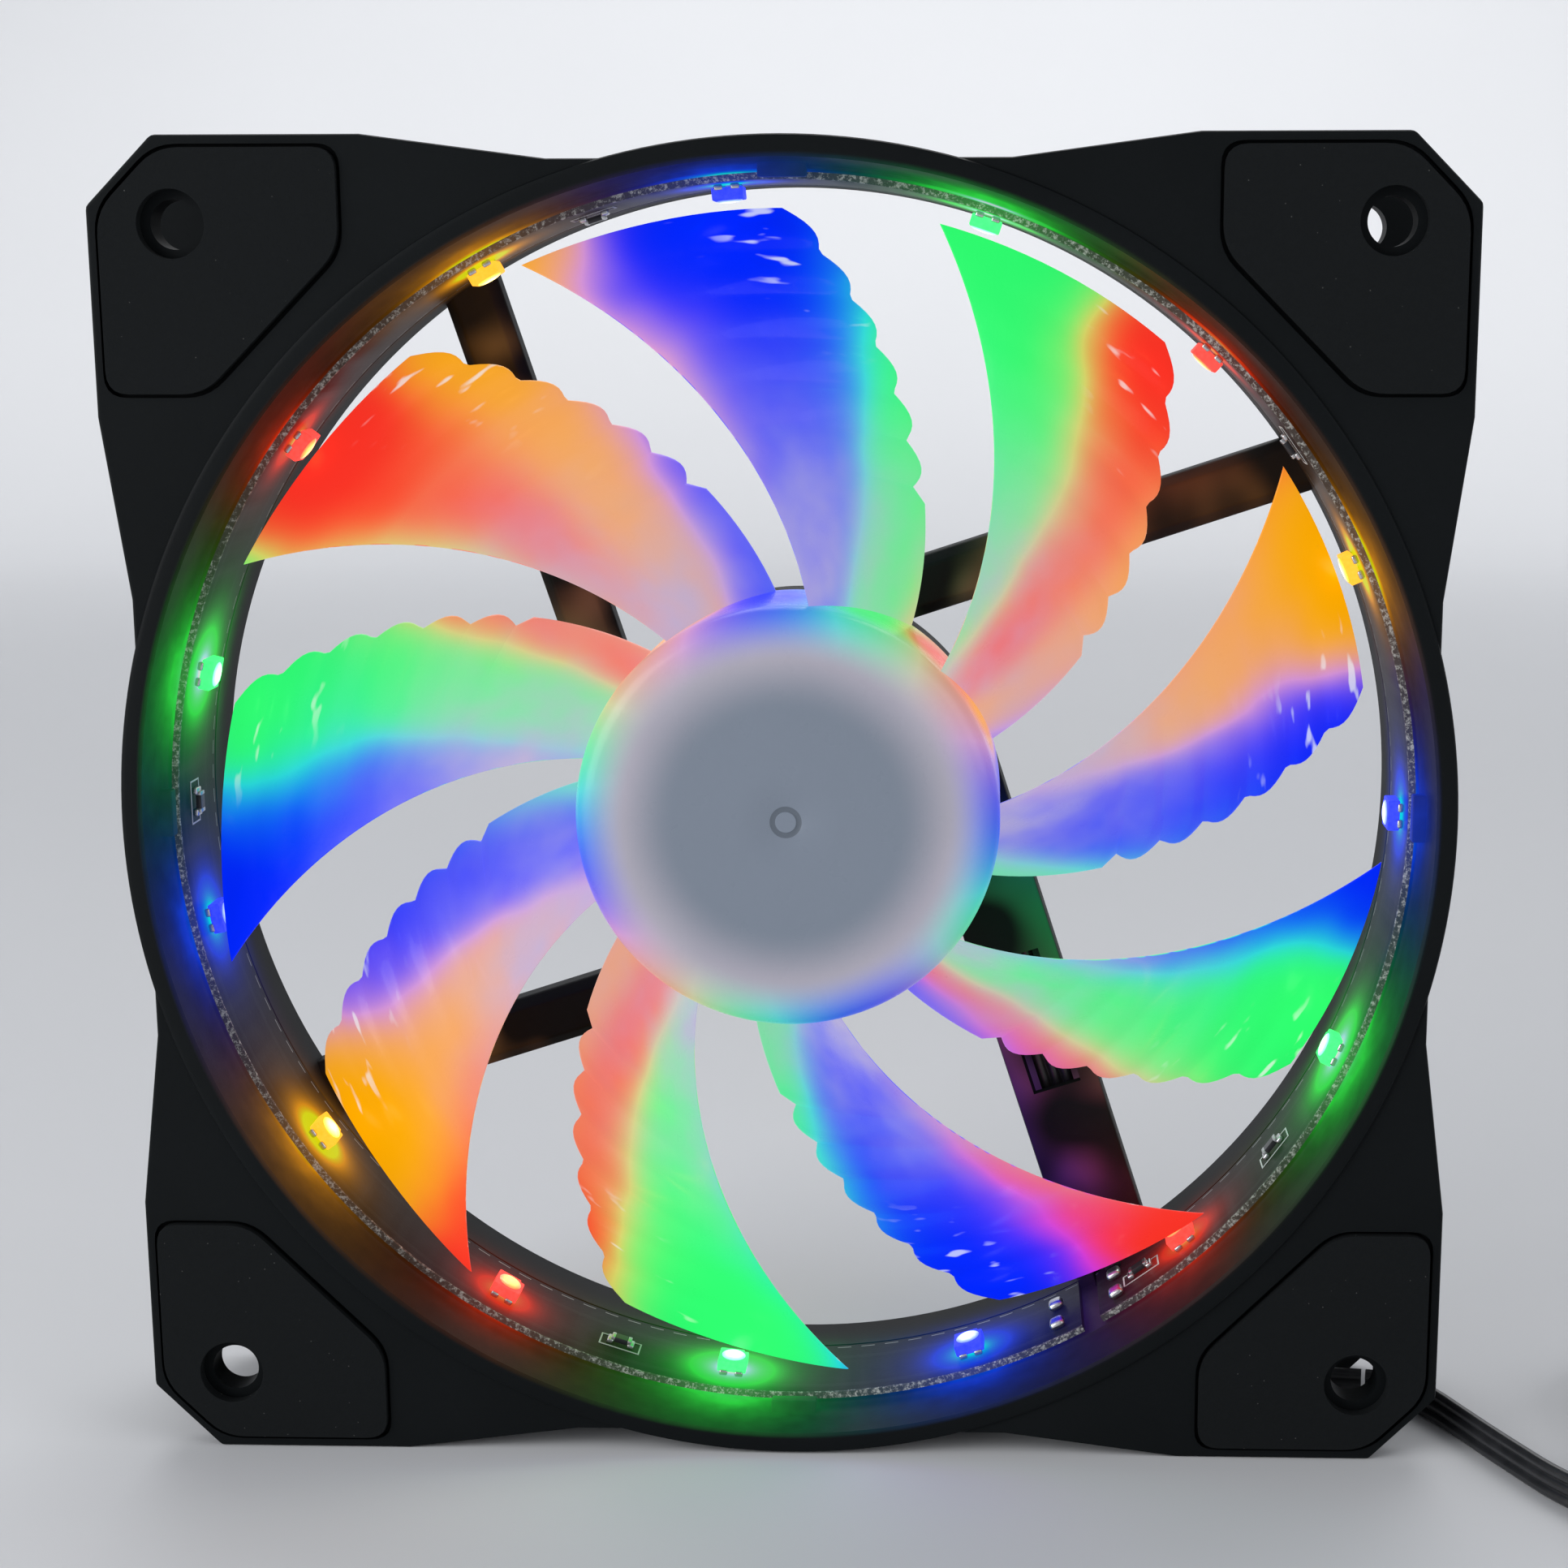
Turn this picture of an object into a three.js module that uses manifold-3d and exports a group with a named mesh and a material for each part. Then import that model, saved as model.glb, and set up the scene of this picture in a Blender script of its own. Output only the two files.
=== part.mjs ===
// A 120 mm case fan: moulded frame, frosted nine-blade impeller, LED strip inside the
// duct, brushless motor and a flat three-wire lead. Millimetres, +Z up.
// The fan stands on its lower edge. Its axis runs along Y, 60 mm above the ground,
// and the intake side, where the LEDs are seen, faces -Y.
import * as THREE from 'three';
import { mergeVertices } from 'three/addons/utils/BufferGeometryUtils.js';
import Module from 'manifold-3d';

const wasm = await Module();
wasm.setup();

const degrees = (angle) => (angle * Math.PI) / 180;

// Driving dimensions
const GAP = 0.3;
const ROUND = 48;
const FRAME_HALF = 60;
const FRAME_DEPTH = 25;
const HOLE_SPACING = 105;
const HOLE_R = 2.15;
const FACE_Y = FRAME_DEPTH / 2;
const PLATE_Y = FACE_Y - 0.4;
const FLANGE = 4;
const CHAMFER = 6;
const WAIST = 57.9;
const WAIST_HALF = 20;
const CORNER_REACH = 36;

// Duct, seen as radii about the fan's axis
const DUCT_R = 59.9;
const LIP_R = 58;
const RECESS_R = 57.3;
const THROAT_R = 56.4;

// LED strip in the duct's recess
const STRIP = { inner: 56.4, outer: 57, front: -6.4, rear: 5.6, seam: 300, seamHalf: 1 };
const CLIP = { wide: 4.3, deep: 1.5, tall: 1.6 };
const LED = { count: 15, first: 311.4, wide: 2.8, deep: 3.5, tall: 1.1, y: -1.4 };
const RESISTOR = { angles: [36, 108, 180, 252, 324, 306], wide: 2, deep: 1.2, tall: 0.5 };

// Rubber corner pads
const PAD = { outer: 58.9, inner: 38, cut: 12.3, chamfer: 5.4, round: 2, thick: 1.2, holeR: 2.95 };

// Motor base, struts and lead channel
const BASE = { radius: 19, front: 9, rear: 11.8, rim: 6.6, rimWall: 1.2 };
const TUBE = { inner: 3.6, outer: 4.6, front: -6.5 };
const STRUT = { first: 18, offset: 14.7, wide: 5.5, front: 8.6, end: 56, edge: 1 };
const CHANNEL = {
  angle: 288, wide: 8.4, inside: 4.8, front: 6.9, cover: 8, floor: 10.9,
  gaps: [[2, 12, 6], [22, 36, 6], [49, 61, 4.6]],
};

// Impeller
const BLADES = 9;
const HUB = { radius: 19.3, wall: 1.6, front: -11, rear: 5.8, face: 1.5, round: 2.2 };
const BLADE = {
  root: 18.6, tip: 54.3, thick: 1.5, edge: 0.5, first: 84,
  sweep: 31.4, rootWide: 28.3, tipWide: 25.6,
  leadRoot: -8.2, leadTip: -6, trailRoot: 5, trailTip: 4.2, camber: 1.5,
};
const SCALLOP = { from: 31, count: 6, depth: 1.1, steps: 2 };

// Motor parts on the axis
const MAGNET = { inner: 14.2, outer: 16.1, half: 4.5 };
const YOKE = { inner: 16.4, outer: 17.3, front: -9.2, rear: 5, face: 0.8, hole: 1.8 };
const SHAFT = { radius: 1.5, front: -9.2, rear: 10.2, grooveR: 1.1, groove: [8, 9] };
const BEARING = { inner: 1.8, outer: 3.3, half: 5.5 };
const STATOR = { bore: 4.9, hub: 6.4, arm: 4.5, shoe: 12, outer: 13.6, half: 2.2, spread: 33 };
const BOBBIN = { from: 2.5, to: 3, inner: 4.9, outer: 11.8, arm: 5.1 };
const WINDING = { from: 6.9, to: 10.6, holeWide: 5.7, holeHigh: 6.6, wide: 9.6, high: 9.2 };
const BOARD = { inner: 5, outer: 15, front: 5, rear: 6 };

// Flat lead of three wires, which lies on its narrow edge
const LEAD = { wide: 3.3, thick: 1.1, rest: 1.72, hankRest: 2.45 };
const HANK = { x: 88.4, y: -15.5, half: 13, inner: 9.65, outer: 14.2, low: 0.75, high: 4.15 };
const TIE = { y: -19, wide: 2.5, thick: 0.4 };
const CONNECTOR = { long: 12.5, wide: 7.6, high: 5.8, x: 85.2, rear: -10.8, lift: 0.05 };

const MATERIALS = {
  frame: { color: 0x14161a, roughness: 0.55, metalness: 0 },
  pad: { color: 0x1a1b1d, roughness: 0.9, metalness: 0 },
  frosted: { color: 0xe8eef4, roughness: 0.35, metalness: 0 },
  board: { color: 0x181c20, roughness: 0.5, metalness: 0 },
  led: { color: 0xf4f2e6, roughness: 0.3, metalness: 0 },
  resistor: { color: 0x202226, roughness: 0.4, metalness: 0 },
  steel: { color: 0x9aa0a6, roughness: 0.3, metalness: 1 },
  magnet: { color: 0x3a3634, roughness: 0.8, metalness: 0 },
  bronze: { color: 0xa67c45, roughness: 0.45, metalness: 1 },
  laminations: { color: 0x6d7278, roughness: 0.5, metalness: 1 },
  nylon: { color: 0xe9e4d4, roughness: 0.5, metalness: 0 },
  copper: { color: 0xb4663a, roughness: 0.35, metalness: 1 },
  chip: { color: 0x15161a, roughness: 0.5, metalness: 0 },
  label: { color: 0xb9bdc2, roughness: 0.4, metalness: 0.2 },
  lead: { color: 0x0d0e11, roughness: 0.4, metalness: 0 },
  tie: { color: 0x101114, roughness: 0.5, metalness: 0 },
  connector: { color: 0xe6e4dc, roughness: 0.45, metalness: 0 },
};

// A closed geometry as a solid, with its faces turned outward
function solid(geometry) {
  const bare = geometry.clone();
  bare.deleteAttribute('normal');
  bare.deleteAttribute('uv');
  const merged = mergeVertices(bare, 1e-4);
  const points = merged.attributes.position;
  const source = merged.index.array;
  const triangles = [];
  let volume = 0;
  const [a, b, c] = [new THREE.Vector3(), new THREE.Vector3(), new THREE.Vector3()];
  for (let i = 0; i < source.length; i += 3) {
    const [p, q, r] = [source[i], source[i + 1], source[i + 2]];
    if (p === q || q === r || r === p) continue;
    triangles.push(p, q, r);
    a.fromBufferAttribute(points, p);
    b.fromBufferAttribute(points, q);
    c.fromBufferAttribute(points, r);
    volume += a.dot(b.cross(c));
  }
  if (volume < 0) triangles.reverse();
  const mesh = new wasm.Mesh({
    numProp: 3,
    vertProperties: Float32Array.from(points.array),
    triVerts: Uint32Array.from(triangles),
  });
  return new wasm.Manifold(mesh);
}

function union(solids) {
  return solids.reduce((whole, next) => whole.add(next));
}

function geometryOf(body) {
  const mesh = body.getMesh();
  const geometry = new THREE.BufferGeometry();
  geometry.setAttribute('position', new THREE.BufferAttribute(mesh.vertProperties, 3));
  geometry.setIndex(new THREE.BufferAttribute(mesh.triVerts, 1));
  geometry.computeVertexNormals();
  return geometry;
}

const fan = new THREE.Group();
fan.position.z = FRAME_HALF;
const lying = new THREE.Group();
const model = new THREE.Group();
model.add(fan, lying);

function addPiece(group, name, body, material) {
  const mesh = new THREE.Mesh(geometryOf(body), new THREE.MeshStandardMaterial(MATERIALS[material]));
  mesh.name = name;
  group.add(mesh);
  return mesh;
}

// A profile of [radius, y] pairs turned about the fan's axis
function turned(profile, segments = ROUND) {
  const onAxis = profile[0][0] === 0 && profile.at(-1)[0] === 0;
  const outline = onAxis ? profile : [...profile, profile[0]];
  const points = outline.map(([radius, y]) => new THREE.Vector2(radius, y));
  return solid(new THREE.LatheGeometry(points, segments));
}

function tube(inner, outer, from, to, segments) {
  return turned([[inner, from], [outer, from], [outer, to], [inner, to]], segments);
}

function disc(radius, from, to, segments) {
  return turned([[0, from], [radius, from], [radius, to], [0, to]], segments);
}

// An (x, z) outline made into a plate that runs from one y to another
function plate(shape, from, to, curveSegments = 12) {
  const settings = { depth: to - from, bevelEnabled: false, curveSegments };
  const geometry = new THREE.ExtrudeGeometry(shape, settings);
  geometry.rotateX(Math.PI / 2);
  geometry.translate(0, to, 0);
  return solid(geometry);
}

function box(width, depth, height, x, y, z) {
  return new THREE.BoxGeometry(width, depth, height).translate(x, y, z);
}

// Outline through the points with every corner rounded by a short curve
function roundedShape(points, radius) {
  const shape = new THREE.Shape();
  points.forEach((corner, i) => {
    const at = new THREE.Vector2(...corner);
    const before = new THREE.Vector2(...points.at(i - 1));
    const after = new THREE.Vector2(...points[(i + 1) % points.length]);
    const enter = at.clone().add(before.sub(at).setLength(radius));
    const leave = at.clone().add(after.sub(at).setLength(radius));
    if (i === 0) shape.moveTo(enter.x, enter.y);
    else shape.lineTo(enter.x, enter.y);
    shape.quadraticCurveTo(at.x, at.y, leave.x, leave.y);
  });
  shape.closePath();
  return shape;
}

function hole(shape, x, z, radius) {
  shape.holes.push(new THREE.Path().absarc(x, z, radius, 0, 2 * Math.PI, true));
}

const CORNERS = [
  { name: 'top_left', x: -1, z: 1 },
  { name: 'top_right', x: 1, z: 1 },
  { name: 'bottom_left', x: -1, z: -1 },
  { name: 'bottom_right', x: 1, z: -1 },
];

// Frame

function flangeShape() {
  const side = [
    [FRAME_HALF, -FRAME_HALF + CHAMFER],
    [FRAME_HALF, -CORNER_REACH],
    [WAIST, -WAIST_HALF],
    [WAIST, WAIST_HALF],
    [FRAME_HALF, CORNER_REACH],
    [FRAME_HALF, FRAME_HALF - CHAMFER],
  ];
  const centre = new THREE.Vector2();
  const points = [0, 1, 2, 3].flatMap((quarter) => side.map(
    ([x, z]) => new THREE.Vector2(x, z).rotateAround(centre, (quarter * Math.PI) / 2),
  ));
  return new THREE.Shape(points);
}

function flange(from, to) {
  const body = plate(flangeShape(), from, to);
  const holeAt = HOLE_SPACING / 2;
  return CORNERS.reduce((left, corner) => {
    const cutter = tubeAlongY(HOLE_R, from - 1, to + 1);
    return left.subtract(cutter.translate([corner.x * holeAt, 0, corner.z * holeAt]));
  }, body.subtract(disc(RECESS_R + 1, from - 1, to + 1)));
}

function tubeAlongY(radius, from, to) {
  return disc(radius, from, to, 20);
}

function duct() {
  return turned([
    [LIP_R, -FACE_Y], [DUCT_R - 0.4, -FACE_Y], [DUCT_R, -PLATE_Y], [DUCT_R, PLATE_Y],
    [DUCT_R - 0.4, FACE_Y], [THROAT_R + 0.8, FACE_Y], [THROAT_R, FACE_Y - 0.8],
    [THROAT_R, STRIP.rear + GAP], [RECESS_R, STRIP.rear + GAP],
    [RECESS_R, STRIP.front - 0.2], [LIP_R - 0.4, STRIP.front - 0.6],
  ]);
}

// A bar that passes the axis at a distance: s runs along it and t across it
function besideAxis(geometry, angle) {
  return solid(geometry.rotateY(-degrees(angle)));
}

function bar(angle, fromS, toS, wide, fromY, toY) {
  const middle = [(fromS + toS) / 2, (fromY + toY) / 2, STRUT.offset];
  return besideAxis(box(toS - fromS, toY - fromY, wide, ...middle), angle);
}

function strut(angle) {
  const half = STRUT.wide / 2;
  const [t0, t1] = [-STRUT.offset - half, -STRUT.offset + half];
  const section = new THREE.Shape([
    new THREE.Vector2(t0, PLATE_Y), new THREE.Vector2(t0, STRUT.front + STRUT.edge),
    new THREE.Vector2(t0 + STRUT.edge, STRUT.front), new THREE.Vector2(t1 - STRUT.edge, STRUT.front),
    new THREE.Vector2(t1, STRUT.front + STRUT.edge), new THREE.Vector2(t1, PLATE_Y),
  ]);
  const geometry = new THREE.ExtrudeGeometry(section, { depth: STRUT.end, bevelEnabled: false });
  return besideAxis(geometry.rotateY(Math.PI / 2), angle);
}

// The wider strut is a channel for the lead, open to the front between its covers
function leadChannel() {
  const outside = bar(CHANNEL.angle, 0, STRUT.end, CHANNEL.wide, CHANNEL.front, PLATE_Y);
  const openings = [
    [3, STRUT.end + 5, CHANNEL.cover, CHANNEL.floor],
    ...CHANNEL.gaps.map(([s0, s1, y0]) => [s0, s1, y0, CHANNEL.floor]),
  ];
  const cuts = openings.map(([s0, s1, y0, y1]) => bar(CHANNEL.angle, s0, s1, CHANNEL.inside, y0, y1));
  return { outside, cut: union(cuts) };
}

function motorBase() {
  const inside = BASE.radius - BASE.rimWall;
  const cup = turned([
    [TUBE.outer - 0.5, BASE.front], [inside, BASE.front], [inside, BASE.rim], [BASE.radius, BASE.rim],
    [BASE.radius, PLATE_Y], [inside, PLATE_Y], [inside - 1, BASE.rear], [TUBE.outer - 0.5, BASE.rear],
  ]);
  return cup.add(tube(TUBE.inner, TUBE.outer, TUBE.front, BASE.rear, 24));
}

// Small lugs in front of the strip that keep it in the recess
function stripClips() {
  const { wide, deep, tall } = CLIP;
  const clip = box(wide, deep, tall, 0, STRIP.front - GAP - deep / 2, THROAT_R + 0.1 + tall / 2);
  return [0, 90, 180, 270].map((angle) => solid(clip.clone().rotateY(degrees(angle))));
}

function padShape(grow) {
  const { outer, inner, cut, chamfer } = PAD;
  const [low, high] = [inner - grow, outer + grow];
  const points = [
    [low, high], [high - chamfer, high], [high, high - chamfer],
    [high, low], [low + cut, low], [low, low + cut],
  ];
  return roundedShape(points.reverse(), PAD.round);
}

// The pad's outline, mirrored into each corner and laid at the front or the rear
function cornerPad(corner, front, grow, depth) {
  const shape = padShape(grow);
  if (grow === 0) hole(shape, HOLE_SPACING / 2, HOLE_SPACING / 2, PAD.holeR);
  const body = front ? plate(shape, -FACE_Y, -FACE_Y + depth, 3) : plate(shape, FACE_Y - depth, FACE_Y, 3);
  return body.scale([corner.x, 1, corner.z]);
}

function buildFrame() {
  const channel = leadChannel();
  const struts = [0, 1, 2].map((k) => strut(STRUT.first + 90 * k));
  let frame = union([
    flange(-PLATE_Y, -PLATE_Y + FLANGE), flange(PLATE_Y - FLANGE, PLATE_Y), duct(),
    ...struts, channel.outside,
  ]);
  frame = frame.subtract(disc(BASE.radius - BASE.rimWall, -20, 20)).add(motorBase());
  frame = union([frame, ...stripClips()]).subtract(channel.cut);
  for (const corner of CORNERS) {
    for (const front of [true, false]) {
      frame = frame.subtract(cornerPad(corner, front, GAP, PAD.thick + GAP));
    }
  }
  addPiece(fan, 'frame', frame, 'frame');
}

function buildPads() {
  for (const corner of CORNERS) {
    addPiece(fan, `front_pad_${corner.name}`, cornerPad(corner, true, 0, PAD.thick), 'pad');
    addPiece(fan, `rear_pad_${corner.name}`, cornerPad(corner, false, 0, PAD.thick), 'pad');
  }
}

// LED strip

// A small block on the strip's inner face, at an angle about the axis
function onStrip(angle, { wide, deep, tall }, y) {
  const block = box(tall, deep, wide, STRIP.inner - GAP - tall / 2, y, 0);
  return solid(block.rotateY(-degrees(angle)));
}

function buildStrip() {
  const start = degrees(STRIP.seam + STRIP.seamHalf);
  const end = degrees(STRIP.seam - STRIP.seamHalf + 360);
  const shape = new THREE.Shape();
  shape.absarc(0, 0, STRIP.outer, start, end, false);
  shape.absarc(0, 0, STRIP.inner, end, start, true);
  shape.closePath();
  addPiece(fan, 'led_strip', plate(shape, STRIP.front, STRIP.rear, ROUND - 4), 'board');
  for (let k = 0; k < LED.count; k += 1) {
    const angle = LED.first + (360 / LED.count) * k;
    addPiece(fan, `led_${k + 1}`, onStrip(angle, LED, LED.y), 'led');
  }
  RESISTOR.angles.forEach((angle, k) => {
    addPiece(fan, `resistor_${k + 1}`, onStrip(angle, RESISTOR, LED.y), 'resistor');
  });
}

// Impeller

// How far the scalloped trailing edge is cut back at a radius
function scallop(radius) {
  if (radius < SCALLOP.from) return 0;
  const along = ((radius - SCALLOP.from) / (BLADE.tip - SCALLOP.from)) * SCALLOP.count;
  return SCALLOP.depth * (1 - Math.abs(Math.sin(Math.PI * along)));
}

// The blade's section at a radius, as a closed loop of points round the chord
function bladeSection(radius, first) {
  const along = (radius - HUB.radius) / (BLADE.tip - HUB.radius);
  const mix = (root, tip) => root + (tip - root) * along;
  const lead = degrees(first + BLADE.sweep * along);
  const wide = degrees(mix(BLADE.rootWide, BLADE.tipWide)) - scallop(radius) / radius;
  const [leadY, trailY] = [mix(BLADE.leadRoot, BLADE.leadTip), mix(BLADE.trailRoot, BLADE.trailTip)];
  const chord = [0, 0.5, 1];
  const side = (sign) => chord.map((t) => {
    const angle = lead - wide * t;
    const bend = BLADE.camber * Math.sin(Math.PI * t) * (1 - 0.4 * along);
    const half = BLADE.edge / 2 + ((BLADE.thick - BLADE.edge) / 2) * Math.sin(Math.PI * t);
    const y = leadY + (trailY - leadY) * t + bend + sign * half;
    return [radius * Math.cos(angle), y, radius * Math.sin(angle)];
  });
  return [...side(-1), ...side(1).reverse()];
}

function bladeRadii() {
  const radii = [BLADE.root, 22, 26.5];
  const steps = SCALLOP.count * SCALLOP.steps;
  for (let i = 0; i <= steps; i += 1) {
    radii.push(SCALLOP.from + ((BLADE.tip - SCALLOP.from) * i) / steps);
  }
  return radii;
}

function blade(first) {
  const rings = bladeRadii().map((radius) => bladeSection(radius, first));
  const size = rings[0].length;
  const triangles = [];
  for (let ring = 0; ring + 1 < rings.length; ring += 1) {
    for (let i = 0; i < size; i += 1) {
      const j = (i + 1) % size;
      const [a, b] = [ring * size + i, ring * size + j];
      triangles.push(a, b, a + size, b, b + size, a + size);
    }
  }
  const last = (rings.length - 1) * size;
  for (let i = 0; i < size / 2 - 1; i += 1) {
    const [a, b, c, d] = [i, i + 1, size - 2 - i, size - 1 - i];
    triangles.push(a, c, b, a, d, c);
    triangles.push(last + a, last + b, last + c, last + a, last + c, last + d);
  }
  const geometry = new THREE.BufferGeometry();
  geometry.setAttribute('position', new THREE.Float32BufferAttribute(rings.flat(2), 3));
  geometry.setIndex(triangles);
  return solid(geometry);
}

function hubCup() {
  const { radius, wall, front, rear, face, round } = HUB;
  const rim = [0, 1, 2].map((i) => {
    const turn = degrees(45 * i);
    return [radius - round * (1 - Math.sin(turn)), front + 0.3 + round * (1 - Math.cos(turn))];
  });
  return turned([
    [0, front], [radius * 0.5, front + 0.08], ...rim, [radius, rear],
    [radius - wall, rear], [radius - wall, front + face], [0, front + face],
  ], 45);
}

function buildImpeller() {
  const blades = [];
  for (let k = 0; k < BLADES; k += 1) blades.push(blade(BLADE.first - (360 / BLADES) * k));
  const bore = disc(HUB.radius - HUB.wall, HUB.front + HUB.face, 20);
  const whole = union([hubCup(), ...blades]).subtract(bore);
  addPiece(fan, 'impeller', whole, 'frosted');
}

// Motor

function buildRotorParts() {
  const yoke = turned([
    [YOKE.hole, YOKE.front], [YOKE.outer, YOKE.front], [YOKE.outer, YOKE.rear],
    [YOKE.inner, YOKE.rear], [YOKE.inner, YOKE.front + YOKE.face], [YOKE.hole, YOKE.front + YOKE.face],
  ], 36);
  addPiece(fan, 'rotor_yoke', yoke, 'steel');
  addPiece(fan, 'magnet_ring', tube(MAGNET.inner, MAGNET.outer, -MAGNET.half, MAGNET.half, 36), 'magnet');
  const { radius, front, rear, grooveR, groove } = SHAFT;
  const shaft = turned([
    [0, front], [radius, front], [radius, groove[0]], [grooveR, groove[0]],
    [grooveR, groove[1]], [radius, groove[1]], [radius, rear - 0.4], [radius - 0.4, rear], [0, rear],
  ], 16);
  addPiece(fan, 'shaft', shaft, 'steel');
  addPiece(fan, 'retaining_clip', tube(grooveR + GAP, 2.9, groove[0] + GAP, groove[1] - GAP, 16), 'steel');
}

function statorCore() {
  const { bore, hub, arm, shoe, outer, half, spread } = STATOR;
  const parts = [tube(bore, hub, -half, half, 24)];
  for (let k = 0; k < 4; k += 1) {
    const middle = degrees(45 + 90 * k);
    const shape = new THREE.Shape();
    shape.absarc(0, 0, outer, middle - degrees(spread), middle + degrees(spread), false);
    shape.absarc(0, 0, shoe, middle + degrees(spread), middle - degrees(spread), true);
    shape.closePath();
    const reach = (hub + shoe) / 2;
    const armBox = box(shoe - hub + 1, 2 * half, arm, reach, 0, 0).rotateY(-middle);
    parts.push(plate(shape, -half, half, 4), solid(armBox));
  }
  return union(parts);
}

function bobbin(from, to) {
  const parts = [tube(BOBBIN.inner, STATOR.hub, from, to, 24)];
  for (let k = 0; k < 4; k += 1) {
    const [reach, middle] = [(STATOR.hub + BOBBIN.outer) / 2, (from + to) / 2];
    const arm = box(BOBBIN.outer - STATOR.hub + 1, to - from, BOBBIN.arm, reach, middle, 0);
    parts.push(solid(arm.rotateY(-degrees(45 + 90 * k))));
  }
  return union(parts);
}

function winding(angle) {
  const { from, to, holeWide, holeHigh, wide, high } = WINDING;
  const [middle, long] = [(from + to) / 2, to - from];
  const around = roundedShape([
    [-wide / 2, -high / 2], [wide / 2, -high / 2], [wide / 2, high / 2], [-wide / 2, high / 2],
  ], 1.6);
  const [w, h] = [holeWide / 2, holeHigh / 2];
  around.holes.push(new THREE.Path([[-w, -h], [-w, h], [w, h], [w, -h]].map((p) => new THREE.Vector2(...p))));
  const geometry = new THREE.ExtrudeGeometry(around, { depth: long, bevelEnabled: false, curveSegments: 3 });
  geometry.rotateY(Math.PI / 2).translate(middle - long / 2, 0, 0);
  return solid(geometry.rotateY(-degrees(angle)));
}

function buildStator() {
  addPiece(fan, 'stator_core', statorCore(), 'laminations');
  addPiece(fan, 'bobbin_front', bobbin(-BOBBIN.to, -BOBBIN.from), 'nylon');
  addPiece(fan, 'bobbin_rear', bobbin(BOBBIN.from, BOBBIN.to), 'nylon');
  for (let k = 0; k < 4; k += 1) addPiece(fan, `winding_${k + 1}`, winding(45 + 90 * k), 'copper');
  addPiece(fan, 'sleeve_bearing', tube(BEARING.inner, BEARING.outer, -BEARING.half, BEARING.half, 20), 'bronze');
  const sealFrom = BEARING.half + GAP;
  addPiece(fan, 'oil_seal', tube(BEARING.inner, BEARING.outer, -sealFrom - 0.5, -sealFrom, 20), 'nylon');
}

function buildBoard() {
  const { inner, outer, front, rear } = BOARD;
  addPiece(fan, 'motor_board', tube(inner, outer, front, rear, 36), 'board');
  const behind = rear + GAP;
  addPiece(fan, 'driver_chip', solid(box(4, 1.3, 3, -9.5, behind + 0.65, -3)), 'chip');
  addPiece(fan, 'board_capacitor', solid(box(2.2, 1.2, 1.4, -3.2, behind + 0.6, 9.4)), 'resistor');
  addPiece(fan, 'bearing_cap', disc(TUBE.inner - GAP, 10.7, 11.6, 20), 'pad');
  addPiece(fan, 'rear_label', disc(15.5, BASE.rear + GAP, BASE.rear + GAP + 0.15, 36), 'label');
}

// Lead

// A flat section swept along points; its first size starts out along the route's flattest axis
function ribbon(points, steps, wide = LEAD.wide, thick = LEAD.thick) {
  const [w, t, e] = [wide / 2, thick / 2, Math.min(wide, thick) / 4];
  const section = new THREE.Shape([
    [w, e - t], [w, t - e], [w - e, t], [e - w, t], [-w, t - e], [-w, e - t], [e - w, -t], [w - e, -t],
  ].map((p) => new THREE.Vector2(...p)));
  const extrudePath = new THREE.CatmullRomCurve3(points.map((p) => new THREE.Vector3(...p)));
  return solid(new THREE.ExtrudeGeometry(section, { steps, extrudePath, bevelEnabled: false }));
}

// A point in the lead channel, at a length s along it
function inChannel(s, y, t = STRUT.offset) {
  const angle = degrees(CHANNEL.angle);
  return [s * Math.cos(angle) - t * Math.sin(angle), y, s * Math.sin(angle) + t * Math.cos(angle)];
}

function buildHeldLeads() {
  const low = LEAD.rest - FRAME_HALF;
  const route = [
    inChannel(5, 7.4), inChannel(9, 8.4), inChannel(14, 9.4), inChannel(24, 9.4), inChannel(34, 9.4),
    inChannel(44, 9.4), inChannel(50, 9.1), inChannel(55, 7.9), inChannel(58.5, 6.6), [34.2, 5.4, low + 4],
    [37.5, 4.5, low + 1.4], [42, 3.8, low + 0.2], [47, 3, low], [51, 2.3, low], [55, 1.7, low],
  ];
  addPiece(fan, 'inner_lead', ribbon(route, 30, LEAD.thick, LEAD.wide), 'lead');
  const feed = [
    inChannel(49.8, 7.7), inChannel(51.6, 7.2), inChannel(53, 6.2), inChannel(53.7, 4.6),
    inChannel(53.7, 2.6),
  ];
  addPiece(fan, 'led_lead', ribbon(feed, 8, 0.7, 2), 'lead');
}

// The stored lead's outline: a racetrack ring that lies flat
function hank(grow) {
  const { x, y, half, inner, outer, low, high } = HANK;
  const around = (radius, path) => path
    .absarc(x, y + half, radius, 0, Math.PI, false)
    .absarc(x, y - half, radius, Math.PI, 2 * Math.PI, false);
  const shape = around(outer + grow, new THREE.Shape());
  shape.holes.push(around(inner - grow, new THREE.Path()));
  const settings = { depth: high - low + 2 * grow, bevelEnabled: false, curveSegments: 16 };
  return solid(new THREE.ExtrudeGeometry(shape, settings).translate(0, 0, low - grow));
}

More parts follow.
